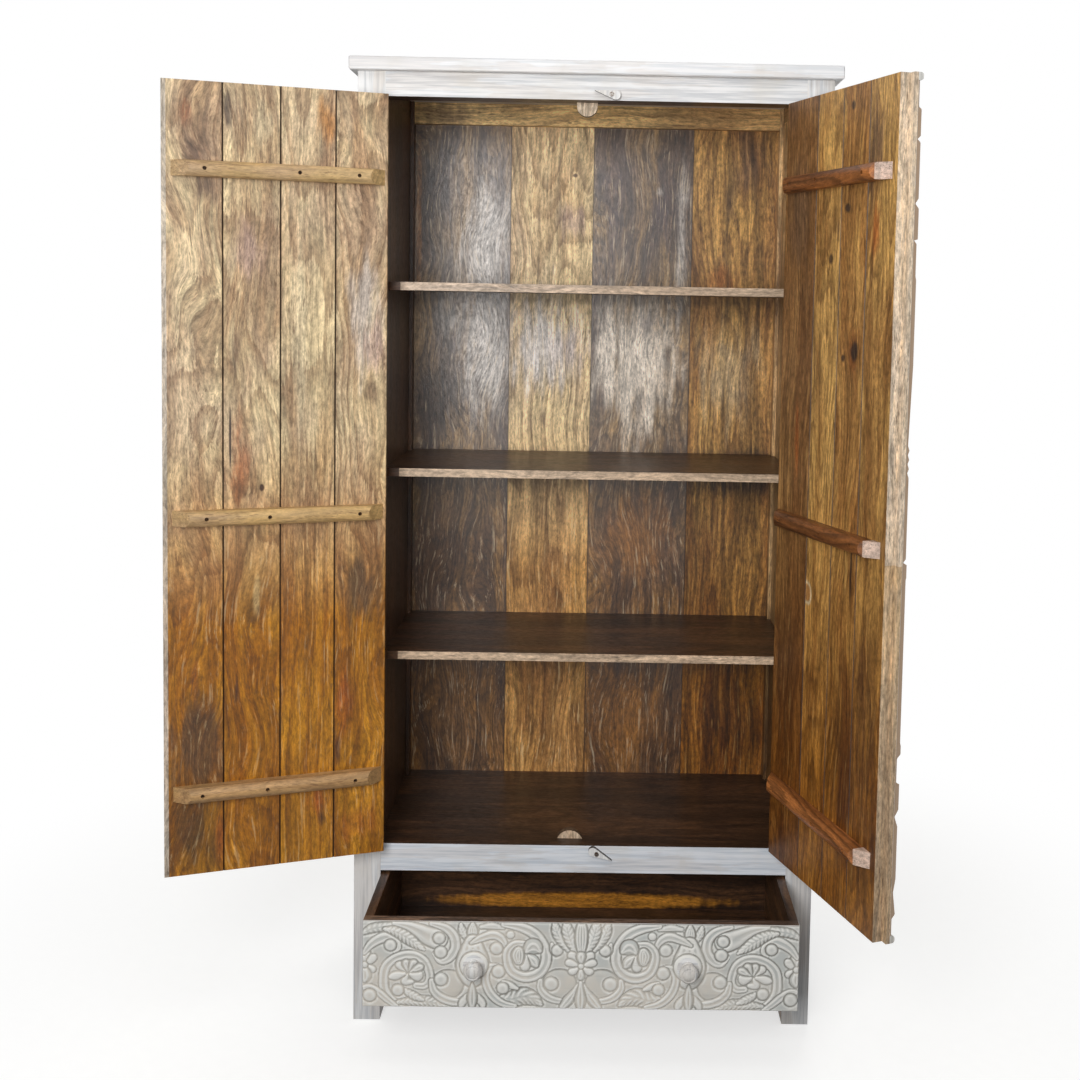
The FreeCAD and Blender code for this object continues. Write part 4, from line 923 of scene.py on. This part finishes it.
def turnKnob(side, x, finish):
    # a disc drawn out ring by ring
    name = f"drawer_{side}_knob"
    low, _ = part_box("drawer_front")
    bpy.ops.mesh.primitive_circle_add(vertices=48, radius=1, fill_type="NGON", location=(0, 0, 0))
    knob = bpy.context.active_object
    knob.name = knob.data.name = name
    bpy.ops.object.mode_set(mode="EDIT")
    bpy.ops.mesh.select_all(action="SELECT")
    bpy.ops.transform.rotate(value=math.radians(90), orient_axis="X", center_override=(0, 0, 0))
    bpy.ops.transform.resize(value=(knobRings[0][1],) * 3, center_override=(0, 0, 0))
    bpy.ops.transform.translate(value=(0, -knobRings[0][0], 0))
    for (out, radius), (nextOut, nextRadius) in zip(knobRings, knobRings[1:]):
        bpy.ops.mesh.extrude_region_move(TRANSFORM_OT_translate={"value": (0, out - nextOut, 0)})
        ratio = nextRadius / radius
        bpy.ops.transform.resize(value=(ratio, 1, ratio), center_override=(0, -nextOut, 0))
    bpy.ops.mesh.select_all(action="SELECT")
    bpy.ops.mesh.remove_doubles(threshold=0.001)
    bpy.ops.mesh.normals_make_consistent(inside=False)
    bpy.ops.object.mode_set(mode="OBJECT")
    knob.data.transform(Matrix.Translation((x, low.y, knobHeight)) @ Matrix.Scale(0.001, 4))
    bpy.ops.object.shade_smooth_by_angle(angle=math.radians(50))
    knob.data.materials.append(finish)
    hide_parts(name)
    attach(knob, "drawer")


knobLime = finishBoard("limed_knobs", lime=dict(lime, seed=59.0, white="#e4e4e2", grey="#b8babc"))
turnKnob("left", -0.194, knobLime)
turnKnob("right", 0.194, knobLime)
print("knobs turned")

doorCarving = {
    "grid": 1.95, "scale": 2.44, "rest": 3.2, "lift": 1.28,
    "middle": 1073.0,    # height of the design's middle, above and below which it is mirrored
    "end": 673.0,        # half height of the carved field
    "foot": 301,         # this height of the drawer's design comes to lie "out" from the hinge
    "out": 396.0,
    "leaveOut": -275,    # forms of the drawer beyond this are left out
    "margin": 0.15,
    "ground": 13.5,      # the ground of the carving, from the hinge
    "band": 50,          # plain enough for the rim, along the hinge and the meeting edge
    "edge": 14.0,        # the outline of the meeting edge holds over this width
    "most": 8.6,
    "worn": {"left": 0.3835, "right": 0.3955},    # metres from the hinge
}
# heights of the carving at the meeting edge of a door, read off the outline that the open door shows
edgeOutline = [
    (1788, 2), (1746, 2), (1743, 7), (1700, 7), (1695, 1), (1690, 7), (1600, 7), (1592, 1), (1584, 8), (1534, 8),
    (1533, 1), (1527, 6), (1475, 6), (1469, 7.5), (1331, 7.5), (1199, 3), (1191, 6), (1184, 3), (1176, 6), (1169, 3),
    (1161, 6), (1154, 3), (1146, 6), (1012, 6), (1006, 1), (1002, 8), (980, 8), (977, 7), (703, 7), (698, 8.5),
    (684, 8.5), (677, 2), (636, 2), (634, 8), (590, 8), (578, 1), (561, 7), (471, 7), (448, 3), (410, 8), (403, 2),
    (374, 2)][::-1]


def carveDoor(side):
    look = doorCarving
    flip = 1 if side == "left" else -1
    scale, margin, foot, out, middle = (look[key] for key in ("scale", "margin", "foot", "out", "middle"))
    opened = Matrix.Translation(hingePin[side]) @ Matrix.Rotation(openTurn[side], 4, "Z")
    placing = opened @ Matrix.Translation((0, look["ground"] / 1000, 0))
    finish = limedCarving(f"limed_{side}_door_carving", dict(
        carvedLime, along="z", seed=63.0 + flip, worn=look["worn"][side]), side)
    for number in (1, 2, 3, 4):
        flat = np.array(asClosed(side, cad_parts[f"{side}_door_plank_{number}"])) * 1000
        ground = flat[np.abs(flat[:, 1] - look["ground"]) < 0.3]
        u0, u1 = sorted((flip * ground[:, 0].min(), flip * ground[:, 0].max()))
        z0, z1 = ground[:, 2].min(), ground[:, 2].max()
        board = newBoard((u0 + margin, z0 + margin), (u1 - margin, z1 - margin), look)
        for shape in drawerForms:
            if min(p[0] for p in shape["line"]) < look["leaveOut"]:
                continue
            for way in (1, -1):
                layForm(board, shape, lambda x, z, half: (
                    out - (foot - z) * scale, middle - way * (x - drawerCarving["middle"]) * scale, half * scale))
        across, up = board["across"], board["up"]
        height = np.clip(0.5 * board["rise"] + 0.5 * soften(board["rise"], 1), relief["least"], 8.7)
        past = np.abs(up - middle) - look["end"]
        height = np.where(past > 0, np.maximum(0.4, height - past * 1.2), height)
        rim = np.minimum(across - u0, u1 - across)
        outer = (across - u0 < look["band"]) if number == 1 else (u1 - across < look["band"]) & (number == 4)
        height = np.minimum(height, np.where(outer, 5.0 + rim * 1.5, 1.2 + rim * 1.8))
        if number == 4:
            near = np.clip(1 - (u1 - across) / look["edge"], 0, 1) ** 0.6
            outline = np.minimum(np.interp(up, *zip(*edgeOutline)), look["most"])
            height = height * (1 - near) + outline * near
        board.update(rise=height, across=across * flip)
        sheet = carvedSheet(f"{side}_door_carving_{number}", board, placing, finish)
        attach(sheet, f"{side}_door")
    print(side, "door carved")


carveDoor("left")
carveDoor("right")
